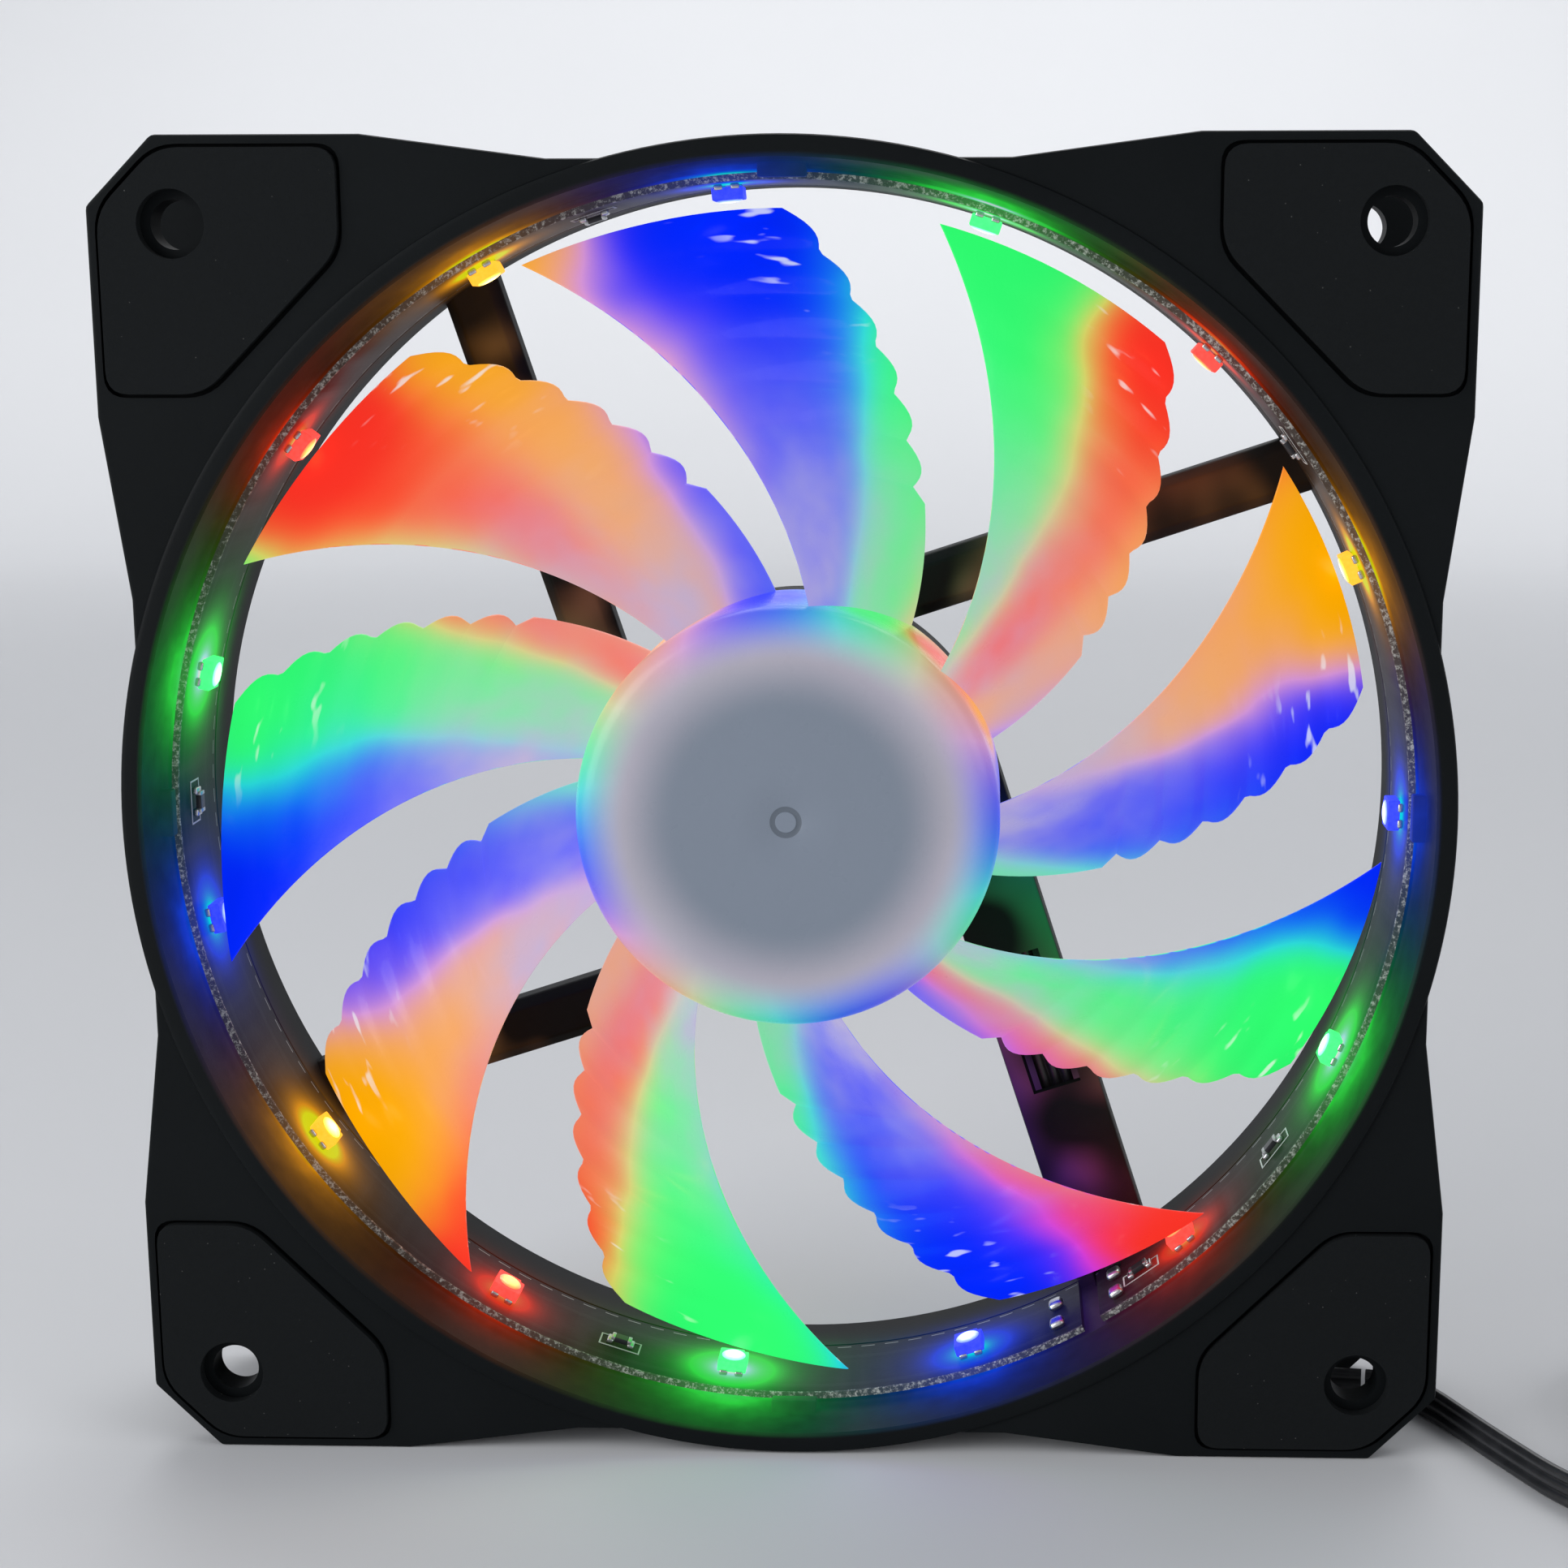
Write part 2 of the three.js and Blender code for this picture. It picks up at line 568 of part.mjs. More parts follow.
function buildCable() {
  const { x, inner, outer, low, high } = HANK;
  const route = [
    [55.4, 1.65, LEAD.rest], [57.5, 1.1, LEAD.rest], [59.6, -0.4, LEAD.rest], [61.5, -3.2, LEAD.rest],
    [63.2, -7, LEAD.rest], [65.1, -11.4, LEAD.rest], [67.2, -16, LEAD.rest], [69.2, -20.2, LEAD.rest + 0.1],
    [71.3, -23.6, LEAD.rest + 0.4], [73.2, -26.4, LEAD.hankRest], [74.1, -28.4, LEAD.hankRest],
  ];
  addPiece(lying, 'cable_run', ribbon(route, 20).subtract(hank(GAP)), 'lead');
  addPiece(lying, 'cable_hank', hank(0), 'lead');
  addPiece(lying, 'cable_tail', cableTail(), 'lead');
  addPiece(lying, 'connector', connectorBody(), 'connector');
  const [gapWide, gapHigh] = [outer - inner + 2 * GAP, high - low + 2 * GAP];
  const middle = [x + (inner + outer) / 2, TIE.y, (low + high) / 2];
  const band = solid(box(gapWide + 2 * TIE.thick, TIE.wide, gapHigh + 2 * TIE.thick, ...middle));
  const space = solid(box(gapWide, TIE.wide + 1, gapHigh, ...middle));
  addPiece(lying, 'cable_tie', band.subtract(space), 'tie');
}

// From the hank's innermost turn round to the rear of the connector
function cableTail() {
  const right = HANK.x + HANK.inner - GAP - LEAD.thick / 2;
  const turn = (right - CONNECTOR.x) / 2;
  const top = CONNECTOR.rear + 4;
  const arc = [0, 30, 60, 90, 120, 150, 180].map((angle) => [
    CONNECTOR.x + turn + turn * Math.cos(degrees(angle)), top + turn * Math.sin(degrees(angle)), LEAD.hankRest,
  ]);
  const end = [CONNECTOR.x, CONNECTOR.rear + GAP, LEAD.hankRest + 0.4];
  return ribbon([[right, top - 3, LEAD.hankRest], ...arc, end], 14);
}

// Three-socket fan connector, its mouth towards -Y, with latch windows and two guide ribs
function connectorBody() {
  const { long, wide, high, lift } = CONNECTOR;
  const laid = (across, along, up, x, y, z) => solid(
    box(across, along, up, CONNECTOR.x + x, CONNECTOR.rear - long + y, z),
  );
  const middle = high / 2 + lift;
  let body = laid(wide, long, high, 0, long / 2, middle);
  for (const k of [-1, 0, 1]) {
    body = body.subtract(laid(1.1, 8, 1.1, 2.54 * k, 3, middle));
    body = body.subtract(laid(1.5, 3, 1, 2.54 * k, 5, high));
  }
  for (const side of [-1, 1]) body = body.add(laid(1, 7, 0.8, side * 2.4, 8, high + 0.3));
  return body;
}

buildFrame();
buildPads();
buildStrip();
buildImpeller();
buildRotorParts();
buildStator();
buildBoard();
buildHeldLeads();
buildCable();

export default model;
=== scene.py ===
"""The looks of a 120 mm case fan with a ring of coloured LEDs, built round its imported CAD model.

Lengths in this script are millimetres about the fan's axis, unless a name says otherwise. They become
metres where a mesh is made. +Z is up and the LED side of the fan faces -Y.
"""
import math
import random

import bmesh
import bpy
from mathutils import Matrix, Vector


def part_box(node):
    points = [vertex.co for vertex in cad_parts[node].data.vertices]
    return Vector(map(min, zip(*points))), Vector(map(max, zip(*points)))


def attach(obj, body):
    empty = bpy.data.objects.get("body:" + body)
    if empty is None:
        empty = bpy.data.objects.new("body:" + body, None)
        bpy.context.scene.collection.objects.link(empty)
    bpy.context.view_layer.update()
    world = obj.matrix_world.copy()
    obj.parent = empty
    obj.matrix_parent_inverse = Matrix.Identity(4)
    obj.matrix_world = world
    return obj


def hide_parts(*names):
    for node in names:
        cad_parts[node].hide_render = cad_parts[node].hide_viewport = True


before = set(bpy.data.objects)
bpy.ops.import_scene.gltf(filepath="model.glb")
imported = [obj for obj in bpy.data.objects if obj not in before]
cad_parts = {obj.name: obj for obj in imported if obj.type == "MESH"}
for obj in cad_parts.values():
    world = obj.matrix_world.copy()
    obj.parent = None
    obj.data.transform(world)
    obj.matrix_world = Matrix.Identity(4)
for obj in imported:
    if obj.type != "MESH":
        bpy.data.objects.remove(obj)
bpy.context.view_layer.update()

MM = 0.001
frame_low, frame_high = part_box("frame")
AXIS_HEIGHT = (frame_low.z + frame_high.z) / 2
HALF = (frame_high.z - frame_low.z) / 2 / MM
FACE = (frame_high.y - frame_low.y) / 2 / MM
PLATE = FACE - 0.4
FLANGE = 4.0
HOLE_AT, HOLE_R, PAD_THICK = 52.5, 2.15, 1.2
CHAMFER, WAIST, WAIST_HALF, CORNER_REACH = 6.0, 57.9, 20.0, 36.0
DUCT_R, LIP_R, RECESS_R, THROAT_R = 59.9, 58.0, 57.3, 56.4
STRIP_FRONT, STRIP_REAR, STRIP_OUT, STRIP_SEAM = -6.4, 5.6, 57.0, 300.0
LED_COUNT, LED_FIRST, LED_R, LED_Y = 15, 311.4, 55.2, -1.4
LED_WIDE, LED_DEEP, LED_TALL, WINDOW_OVAL = 2.8, 3.5, 1.1, 1.2
RESISTOR_ANGLES = (36, 108, 180, 252, 324, 306)
STRUT_OFFSET, STRUT_END, CHANNEL_ANGLE = 14.7, 56, 288
SCREW_REACH = 20
GAP = 0.3
CORNERS = {"top_left": (-1, 1), "top_right": (1, 1), "bottom_left": (-1, -1), "bottom_right": (1, -1)}

LED_COLOURS = {"red": (1.0, 0.035, 0.02), "green": (0.03, 1.0, 0.17), "blue": (0.0, 0.02, 1.0),
               "amber": (1.0, 0.42, 0.0)}
LED_CENTRES = {"red": (1.0, 0.55, 0.1), "green": (0.75, 1.0, 0.8), "blue": (0.7, 0.85, 1.0),
               "amber": (1.0, 0.93, 0.45)}
LED_POWER = {"red": 0.25, "green": 0.9, "blue": 1.9, "amber": 0.5}
LED_ORDER = tuple(LED_COLOURS)
# Tint of the painted LED light on black plastic.
PAINTED_GLOW_TINT = (1.0, 0.9, 0.36)


def added(name, data):
    """A new object with the data, linked to the scene."""
    made = bpy.data.objects.new(name, data)
    bpy.context.scene.collection.objects.link(made)
    return made


# Camera

def make_camera():
    data = bpy.data.cameras.new("camera")
    data.sensor_width = 36
    data.lens = 62.6
    data.shift_x, data.shift_y = -0.0745, 0.0538
    data.clip_start, data.clip_end = 0.01, 20
    camera = added("camera", data)
    camera.location = (0.0185, -0.2515, AXIS_HEIGHT + 0.0452)
    camera.rotation_euler = [math.radians(angle) for angle in (78.411, 0.088, 1.92)]
    bpy.context.scene.camera = camera


# Mesh helpers

def mesh_object(name, points, faces, height=AXIS_HEIGHT):
    """A mesh object from millimetre points whose zero height is at the given height in metres."""
    mesh = bpy.data.meshes.new(name)
    mesh.from_pydata([(x * MM, y * MM, z * MM + height) for x, y, z in points], [], faces)
    tidy = bmesh.new()
    tidy.from_mesh(mesh)
    bmesh.ops.remove_doubles(tidy, verts=tidy.verts, dist=1e-7)
    bmesh.ops.recalc_face_normals(tidy, faces=tidy.faces)
    tidy.to_mesh(mesh)
    tidy.free()
    return added(name, mesh)


def apply_modifiers(made):
    depsgraph = bpy.context.evaluated_depsgraph_get()
    made.data = bpy.data.meshes.new_from_object(made.evaluated_get(depsgraph))
    made.modifiers.clear()


def bevelled(made, width, segments=2, angle=30):
    bevel = made.modifiers.new("bevel", "BEVEL")
    bevel.width = width * MM
    bevel.segments = segments
    bevel.limit_method = "ANGLE"
    bevel.angle_limit = math.radians(angle)
    apply_modifiers(made)
    return made


def combine(target, tools, operation):
    for tool in tools:
        step = target.modifiers.new("combine", "BOOLEAN")
        step.operation = operation
        step.solver = "MANIFOLD"
        step.object = tool
        apply_modifiers(target)
        bpy.data.objects.remove(tool)
    return target


def joined(name, objects):
    """The meshes of several objects as one object."""
    whole = bmesh.new()
    for item in objects:
        whole.from_mesh(item.data)
        bpy.data.objects.remove(item)
    mesh = bpy.data.meshes.new(name)
    whole.to_mesh(mesh)
    whole.free()
    return added(name, mesh)


def dress(made, materials, body="housing", replaces=(), sharp=32, flat_faces=True):
    """Gives a finished mesh its materials, shading, body and replaced nodes."""
    made.data.materials.clear()
    for material in materials if isinstance(materials, (list, tuple)) else [materials]:
        made.data.materials.append(material)
    made.data.shade_smooth()
    made.data.set_sharp_from_angle(angle=math.radians(sharp))
    if flat_faces:
        weighted = made.modifiers.new("weighted", "WEIGHTED_NORMAL")
        weighted.keep_sharp = True
    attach(made, body)
    if replaces:
        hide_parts(*replaces)
    return made


def ring_faces(rings, size, closed=False):
    """Quads between rings of points that follow one another in a list."""
    faces = []
    for ring in range(rings if closed else rings - 1):
        after = (ring + 1) % rings
        for i in range(size):
            j = (i + 1) % size
            faces.append((ring * size + i, ring * size + j, after * size + j, after * size + i))
    return faces


def capped_faces(rings, size):
    """The same with a cap at either end."""
    last = (rings - 1) * size
    return ring_faces(rings, size) + [tuple(range(size)), tuple(range(last, last + size))]


def circle(sides, radius=1.0):
    turns = [2 * math.pi * side / sides for side in range(sides)]
    return [(radius * math.cos(turn), radius * math.sin(turn)) for turn in turns]


def spin(x, z, angle):
    """A place (x, z) turned about the fan's axis by an angle in degrees."""
    turn = math.radians(angle)
    return x * math.cos(turn) - z * math.sin(turn), x * math.sin(turn) + z * math.cos(turn)


def turned(name, profile, segments=192):
    """A closed profile of (radius, y) turned about the fan's axis."""
    points = [(r * across, y, r * up) for across, up in circle(segments) for r, y in profile]
    return mesh_object(name, points, ring_faces(segments, len(profile), closed=True))


def plate(name, outline, low, high):
    """An (x, z) outline made solid between two y values."""
    points = [(x, y, z) for y in (low, high) for x, z in outline]
    return mesh_object(name, points, capped_faces(2, len(outline)))


def disc(name, radius, low, high, segments=64, x=0, z=0):
    """A round plate or a cutter along Y."""
    outline = [(x + across, z + up) for across, up in circle(segments, radius)]
    return plate(name, outline, low, high)


def prism_along_x(name, section, start, end, angle):
    """A (y, z) section run from x = start to x = end, then turned about the fan's axis."""
    points = []
    for x in (start, end):
        for y, z in section:
            turned_x, turned_z = spin(x, z, angle)
            points.append((turned_x, y, turned_z))
    return mesh_object(name, points, capped_faces(2, len(section)))


def box(name, low, high, height=AXIS_HEIGHT):
    (x0, y0, z0), (x1, y1, z1) = low, high
    points = [(x, y, z) for x in (x0, x1) for y in (y0, y1) for z in (z0, z1)]
    faces = [(0, 1, 3, 2), (4, 6, 7, 5), (0, 4, 5, 1), (2, 3, 7, 6), (0, 2, 6, 4), (1, 5, 7, 3)]
    return mesh_object(name, points, faces, height)


def block(name, origin, low, high):
    """A box whose corners are counted from an origin on the ground."""
    start, end = (Vector(origin) + Vector(corner) for corner in (low, high))
    return box(name, start, end, 0)


def rounded(corners, radius, steps=5):
    """A closed outline whose corners are quadratic curves that start at radius from each corner."""
    outline = []
    for i, corner in enumerate(corners):
        at = Vector(corner)
        before, after = Vector(corners[i - 1]), Vector(corners[(i + 1) % len(corners)])
        enter = at + (before - at).normalized() * radius
        leave = at + (after - at).normalized() * radius
        for step in range(steps + 1):
            t = step / steps
            outline.append(tuple((1 - t) ** 2 * enter + 2 * t * (1 - t) * at + t * t * leave))
    return outline


def blend(a, b, start, end, t):
    return a * (end - t) / (end - start) + b * (t - start) / (end - start)


def smooth_line(controls, spacing=0.8):
    """Points along a centripetal Catmull-Rom curve through the controls."""
    ends = [2 * controls[0] - controls[1]] + controls + [2 * controls[-1] - controls[-2]]
    line = []
    for i in range(1, len(ends) - 2):
        p0, p1, p2, p3 = ends[i - 1:i + 3]
        times = [0.0]
        for a, b in ((p0, p1), (p1, p2), (p2, p3)):
            times.append(times[-1] + max((b - a).length, 1e-6) ** 0.5)
        t0, t1, t2, t3 = times
        steps = max(2, round((p2 - p1).length / spacing))
        for step in range(steps):
            t = t1 + (t2 - t1) * step / steps
            middle = blend(p1, p2, t1, t2, t)
            before = blend(blend(p0, p1, t0, t1, t), middle, t0, t2, t)
            after = blend(middle, blend(p2, p3, t2, t3, t), t1, t3, t)
            line.append(blend(before, after, t1, t2, t))
    line.append(controls[-1].copy())
    return line


# Lead

WIRE_R, WIRES, WEB = 0.55, 3, 0.2
LEAD_REST, LEAD_LENGTH, LEAD_TWIST = 1.72, 0.375, 12
HANK_X, HANK_Y, HANK_HALF = 88.4, -15.5, 13.0
HANK_IN, HANK_OUT, HANK_LOW, HANK_HIGH, HANK_LEVEL = 9.65, 14.2, 0.75, 4.15, 1.8
TURN_FROM, TURN_PITCH, HALF_TURNS = 13.6, 1.35, 5
TIE_Y, TIE_WIDE, TIE_THICK, TIE_LIFT = -19.0, 2.5, 0.4, 0.65
CONNECTOR_X, CONNECTOR_REAR, CONNECTOR_LONG, CONNECTOR_WIDE = 85.2, -10.8, 12.5, 7.6
CONNECTOR_LOW, CONNECTOR_TOP, CONTACT_PITCH = 0.05, 5.85, 2.54
CONNECTOR_Z = (CONNECTOR_LOW + CONNECTOR_TOP) / 2


def ribbon_section():
    """Outline of three round wires side by side, as (across, through) points."""
    side = []
    for wire in range(WIRES):
        for step in range(8):
            turn = math.pi * (step + 0.5) / 8
            across = 2 * WIRE_R * (wire - 1) - WIRE_R * math.cos(turn)
            side.append((across, max(WIRE_R * math.sin(turn), WEB)))
    return side + [(across, -through) for across, through in reversed(side)]


def swept(name, line, section, height, across_at=None):
    """A closed section of (across, through) points run along a line.

    across_at gives the across direction at a share of the line. Without it, the direction is carried along.
    """
    points = []
    across = None
    for i, at in enumerate(line):
        tangent = (line[min(i + 1, len(line) - 1)] - line[max(i - 1, 0)]).normalized()
        if across_at:
            across = across_at(i / (len(line) - 1))
        elif across is None:
            across = tangent.orthogonal()
        across = (across - tangent * across.dot(tangent)).normalized()
        through = tangent.cross(across)
        points += [at + across * a + through * b for a, b in section]
    return mesh_object(name, points, capped_faces(len(line), len(section)), height)


def dress_lead(made, material, replaces):
    dress(made, material, replaces=replaces, sharp=60, flat_faces=False)


def free_lead_line():
    """The lead's route: along the floor, two and a half turns of a hank, then round to the connector."""
    controls = [Vector(p) for p in (
        (55.4, 1.65, 1.72), (57.5, 1.1, 1.72), (59.6, -0.4, 1.72), (61.5, -3.2, 1.72),
        (63.2, -7, 1.72), (65.1, -11.4, 1.72), (67.2, -16, 1.72), (69.2, -20.2, 1.75),
        (71.3, -23.6, HANK_LEVEL), (73.4, -26.4, HANK_LEVEL),
    )]
    steps = 12
    radius = TURN_FROM
    for half in range(HALF_TURNS):
        way = 1 if half % 2 else -1
        for step in range(steps + 1):
            angle = math.pi * (step / steps + (way < 0))
            radius -= TURN_PITCH / 2 / (steps + 1)
            y = HANK_Y + way * HANK_HALF + radius * math.sin(angle)
            controls.append(Vector((HANK_X + radius * math.cos(angle), y, HANK_LEVEL)))
        z = HANK_LEVEL + (TIE_LIFT if way < 0 else 0.0)
        for share in (0.35,) if half == HALF_TURNS - 1 else (0.35, 0.65):
            y = HANK_Y - way * (2 * share - 1) * HANK_HALF
            controls.append(Vector((HANK_X - way * radius, y, z)))
    top = CONNECTOR_REAR + 4
    turn = (controls[-1].x - CONNECTOR_X) / 2
    for angle in range(0, 181, 30):
        at = math.radians(angle)
        x = CONNECTOR_X + turn + turn * math.cos(at)
        controls.append(Vector((x, top + turn * math.sin(at), 1.9 + 0.8 * angle / 180)))
    controls.append(Vector((CONNECTOR_X, CONNECTOR_REAR - 0.4, CONNECTOR_Z)))
    return smooth_line(controls)


def make_free_lead(material):
    line = free_lead_line()
    flat_from = 1 - LEAD_TWIST * MM / LEAD_LENGTH

    def across_at(share):
        turn = max(0.0, share - flat_from) / (1 - flat_from) * math.pi / 2
        return Vector((0, math.sin(turn), math.cos(turn)))
    lead = swept("free_lead", line, ribbon_section(), 0, across_at)
    dress_lead(lead, material, ("cable_run", "cable_hank", "cable_tail"))
    path = [tuple(point * MM) for point in line]


def in_channel(along, y):
    """A point in the channel strut, at a length along it."""
    x, z = spin(along, STRUT_OFFSET, CHANNEL_ANGLE)
    return Vector((x, y, z))


def make_held_leads(material):
    """The lead from the motor through the channel to the corner, and the feed to the LED strip."""
    low = LEAD_REST - HALF
    controls = [in_channel(along, y) for along, y in (
        (5, 7.4), (9, 8.4), (14, 9.4), (24, 9.4), (34, 9.4), (44, 9.4), (50, 9.1), (55, 7.9), (58.5, 6.6),
    )]
    controls += [Vector((x, y, low + rise)) for x, y, rise in (
        (34.2, 5.4, 4), (37.5, 4.5, 1.4), (42, 3.8, 0.2), (47, 3, 0), (51, 2.3, 0), (55, 1.7, 0),
    )]
    channel_across = in_channel(0, 0).normalized()
    turn_from, turn_to = 0.56, 0.8

    def across_at(share):
        upright = min(1.0, max(0.0, (share - turn_from) / (turn_to - turn_from)))
        return channel_across.lerp(Vector((0, 0, 1)), upright)
    held = swept("held_lead", smooth_line(controls), ribbon_section(), AXIS_HEIGHT, across_at)
    dress_lead(held, material, ("inner_lead",))
    feed = smooth_line([in_channel(along, y) for along, y in (
        (49.8, 7.7), (51.6, 7.2), (53, 6.2), (53.7, 4.6), (53.7, 2.6),
    )], 0.4)
    wires = []
    for side in (-0.5, 0.5):
        line = [at + channel_across * side for at in feed]
        wires.append(swept("feed_wire", line, circle(12, 0.35), AXIS_HEIGHT))
    dress_lead(joined("strip_feed", wires), material, ("led_lead",))


def make_connector(material, metal):
    """Three-socket fan connector that lies flat, its mouth towards -Y."""
    mouth = (CONNECTOR_X, CONNECTOR_REAR - CONNECTOR_LONG, 0)
    half, long = CONNECTOR_WIDE / 2, CONNECTOR_LONG
    low, top, middle = CONNECTOR_LOW, CONNECTOR_TOP, CONNECTOR_Z
    body = bevelled(block("connector_body", mouth, (-half, 0, low), (half, long, top)), 0.3, 3)
    ribs = []
    for x in (-2.4, 2.4):
        rib = block("rib", mouth, (x - 0.5, 4.5, top - 0.6), (x + 0.5, 11.5, top + 0.65))
        ribs.append(bevelled(rib, 0.15))
    openings = (
        ("socket", 0.55, -1, 7, middle - 0.55, middle + 0.55),
        ("mouth", 0.85, -1, 0.5, middle - 0.85, middle + 0.85),
        ("latch", 0.75, 3.5, 6.5, middle + 0.3, top + 1),
        ("wire_way", 0.85, long - 2.5, long + 1, middle - 0.7, middle + 0.7),
    )
    cutters, contacts = [], []
    for x in (-CONTACT_PITCH, 0, CONTACT_PITCH):
        for name, wide, y0, y1, z0, z1 in openings:
            cutters.append(block(name, mouth, (x - wide, y0, z0), (x + wide, y1, z1)))
        contact = block("contact", mouth, (x - 0.5, 2.2, middle - 0.5), (x + 0.5, 6.4, middle + 0.32))
        contacts.append(bevelled(contact, 0.1))
    combine(body, ribs, "UNION")
    combine(body, cutters, "DIFFERENCE")
    body.name = "fan_connector"
    dress(body, material, replaces=("connector",))
    terminals = dress(joined("connector_contacts", contacts), metal)
    return body, terminals


def make_tie(material):
    """Nylon tie round the hank's outer run, with its head on top."""
    inner, outer = HANK_X + HANK_IN - GAP, HANK_X + HANK_OUT + GAP
    low, high = HANK_LOW - GAP, HANK_HIGH + GAP
    loops = []
    for grow, radius in ((0, 1.0), (TIE_THICK, 1.4)):
        x0, x1, z0, z1 = inner - grow, outer + grow, low - grow, high + grow
        loops.append(rounded([(x0, z0), (x1, z0), (x1, z1), (x0, z1)], radius))
    points = []
    near, far = TIE_Y - TIE_WIDE / 2, TIE_Y + TIE_WIDE / 2
    for (x0, z0), (x1, z1) in zip(*loops):
        points += [(x0, near, z0), (x1, near, z1), (x1, far, z1), (x0, far, z0)]
    band = mesh_object("band", points, ring_faces(len(loops[0]), 4, closed=True), 0)
    at = ((inner + outer) / 2, TIE_Y, high + TIE_THICK)
    head = bevelled(block("head", at, (-1.6, -1.9, -0.3), (1.6, 1.9, 1.9)), 0.35, 3)
    combine(head, [block("slot", at, (-3, -1.15, 0.35), (3, 1.15, 1.15))], "DIFFERENCE")
    end = bevelled(block("tie_end", at, (-1.9, -1.0, 0.45), (2.6, 1.0, 0.95)), 0.12)
    tie = joined("lead_tie", [band, head, end])
    return dress(tie, material, replaces=("cable_tie",))


# Shader arithmetic

class Value:
    """A shader socket that is reckoned with like a number, or like a vector if it is one."""

    def __init__(self, socket):
        self.socket = socket
        self.tree = socket.id_data
        self.reckon = vector if socket.type in ("VECTOR", "RGBA") else calc

    def __add__(self, other):
        return self.reckon("ADD", self, other)

    def __sub__(self, other):
        return self.reckon("SUBTRACT", self, other)

    def __rsub__(self, other):
        return self.reckon("SUBTRACT", other, self)

    def __mul__(self, other):
        return self.reckon("MULTIPLY", self, other)

    def __truediv__(self, other):
        return self.reckon("DIVIDE", self, other)

    def __pow__(self, other):
        return calc("POWER", self, other)


def put(tree, value, socket):
    """Links a Value to a socket, or sets the socket to a constant."""
    if isinstance(value, Value):
        tree.links.new(value.socket, socket)
    elif socket.type == "VECTOR" and isinstance(value, (int, float)):
        socket.default_value = (value,) * 3
    elif socket.type == "RGBA":
        socket.default_value = (*value, 1.0)
    else:
        socket.default_value = value


def node(tree, kind, inputs=None, **settings):
    made = tree.nodes.new(kind)
    for key, value in settings.items():
        setattr(made, key, value)
    for key, value in (inputs or {}).items():
        put(tree, value, made.inputs[key])
    return made


def tree_of(values):
    return next(value.tree for value in values if isinstance(value, Value))


def calc(operation, *values, clamp=False):
    made = node(tree_of(values), "ShaderNodeMath", dict(enumerate(values)), operation=operation)
    made.use_clamp = clamp
    return Value(made.outputs[0])


def vector(operation, *values, out=0):
    made = node(tree_of(values), "ShaderNodeVectorMath", dict(enumerate(values)), operation=operation)
    return Value(made.outputs[out])


def ramp(value, low, high):
    """0 below low, 1 above high and a smooth rise between."""
    made = node(value.tree, "ShaderNodeMapRange", {"Value": value, "From Min": low, "From Max": high},
                interpolation_type="SMOOTHSTEP")
    return Value(made.outputs[0])


def mix(share, a, b):
    """The colour a at share 0 and b at share 1."""
    made = node(tree_of((share, a, b)), "ShaderNodeMix", {0: share, 6: a, 7: b}, data_type="RGBA")
    return Value(made.outputs[2])


def noise(position, scale, detail=3.0, roughness=0.5, out=0):
    made = node(position.tree, "ShaderNodeTexNoise", {"Vector": position, "Scale": scale, "Detail": detail,
                                                      "Roughness": roughness})
    return Value(made.outputs[out])


def bump(height, strength, distance):
    made = node(height.tree, "ShaderNodeBump", {"Height": height, "Strength": strength,
                                                "Distance": distance * MM})
    return Value(made.outputs[0])


def parts_of(position):
    return [Value(part) for part in node(position.tree, "ShaderNodeSeparateXYZ", {0: position}).outputs]


def radius_of(position):
    return vector("LENGTH", position * (1, 0, 1), out=1)


def new_material(name, colour, roughness, **sockets):
    """A material with a Principled shader; sockets sets more of the shader's inputs."""
    material = bpy.data.materials.new(name)
    material.use_nodes = True
    material.diffuse_color = (*colour, 1.0)
    return surface(material, Base_Color=colour, Roughness=roughness, **sockets)


def surface(material, **sockets):
    """Feeds the material's shader, whose sockets are named with _ for a space."""
    tree = material.node_tree
    for name, value in sockets.items():
        put(tree, value, tree.nodes["Principled BSDF"].inputs[name.replace("_", " ")])
    return material


def object_mm(material):
    """The surface point in millimetres, in the row frame at rest."""
    return Value(node(material.node_tree, "ShaderNodeTexCoord").outputs["Object"]) * (1 / MM)


def placed_mm(material):
    """The surface point in millimetres about the fan's axis, wherever its body has turned to."""
    point = Value(node(material.node_tree, "ShaderNodeNewGeometry").outputs["Position"])
    return (point - (0, 0, AXIS_HEIGHT)) * (1 / MM)


def attribute(material, name):
    return Value(node(material.node_tree, "ShaderNodeAttribute", attribute_name=name).outputs["Fac"])


# The light of the LED ring

def led_angle(k):
    return LED_FIRST + 360 / LED_COUNT * k


def glow_group():
    """A node group that adds up the colours of the LEDs, each weighted by its distance to a power."""
    group = bpy.data.node_groups.new("led_glow", "ShaderNodeTree")
    for name, way, kind in (("Position", "INPUT", "Vector"), ("Power", "INPUT", "Float"),
                            ("Colour", "OUTPUT", "Vector"), ("Weight", "OUTPUT", "Float")):
        group.interface.new_socket(name, in_out=way, socket_type="NodeSocket" + kind)
    entry = group.nodes.new("NodeGroupInput")
    leave = group.nodes.new("NodeGroupOutput")
    position, fall = Value(entry.outputs["Position"]), Value(entry.outputs["Power"]) * -1.0
    total, weights = (0.0, 0.0, 0.0), 0.0
    for k in range(LED_COUNT):
        turn = math.radians(led_angle(k))
        name = LED_ORDER[k % len(LED_ORDER)]
        away = vector("DISTANCE", position, (LED_R * math.cos(turn), LED_Y, LED_R * math.sin(turn)), out=1)
        weight = away ** fall * LED_POWER[name]
        total = vector("MULTIPLY_ADD", LED_COLOURS[name], weight, total)
        weights = weight + weights
    put(group, total, leave.inputs["Colour"])
    put(group, weights, leave.inputs["Weight"])
    return group


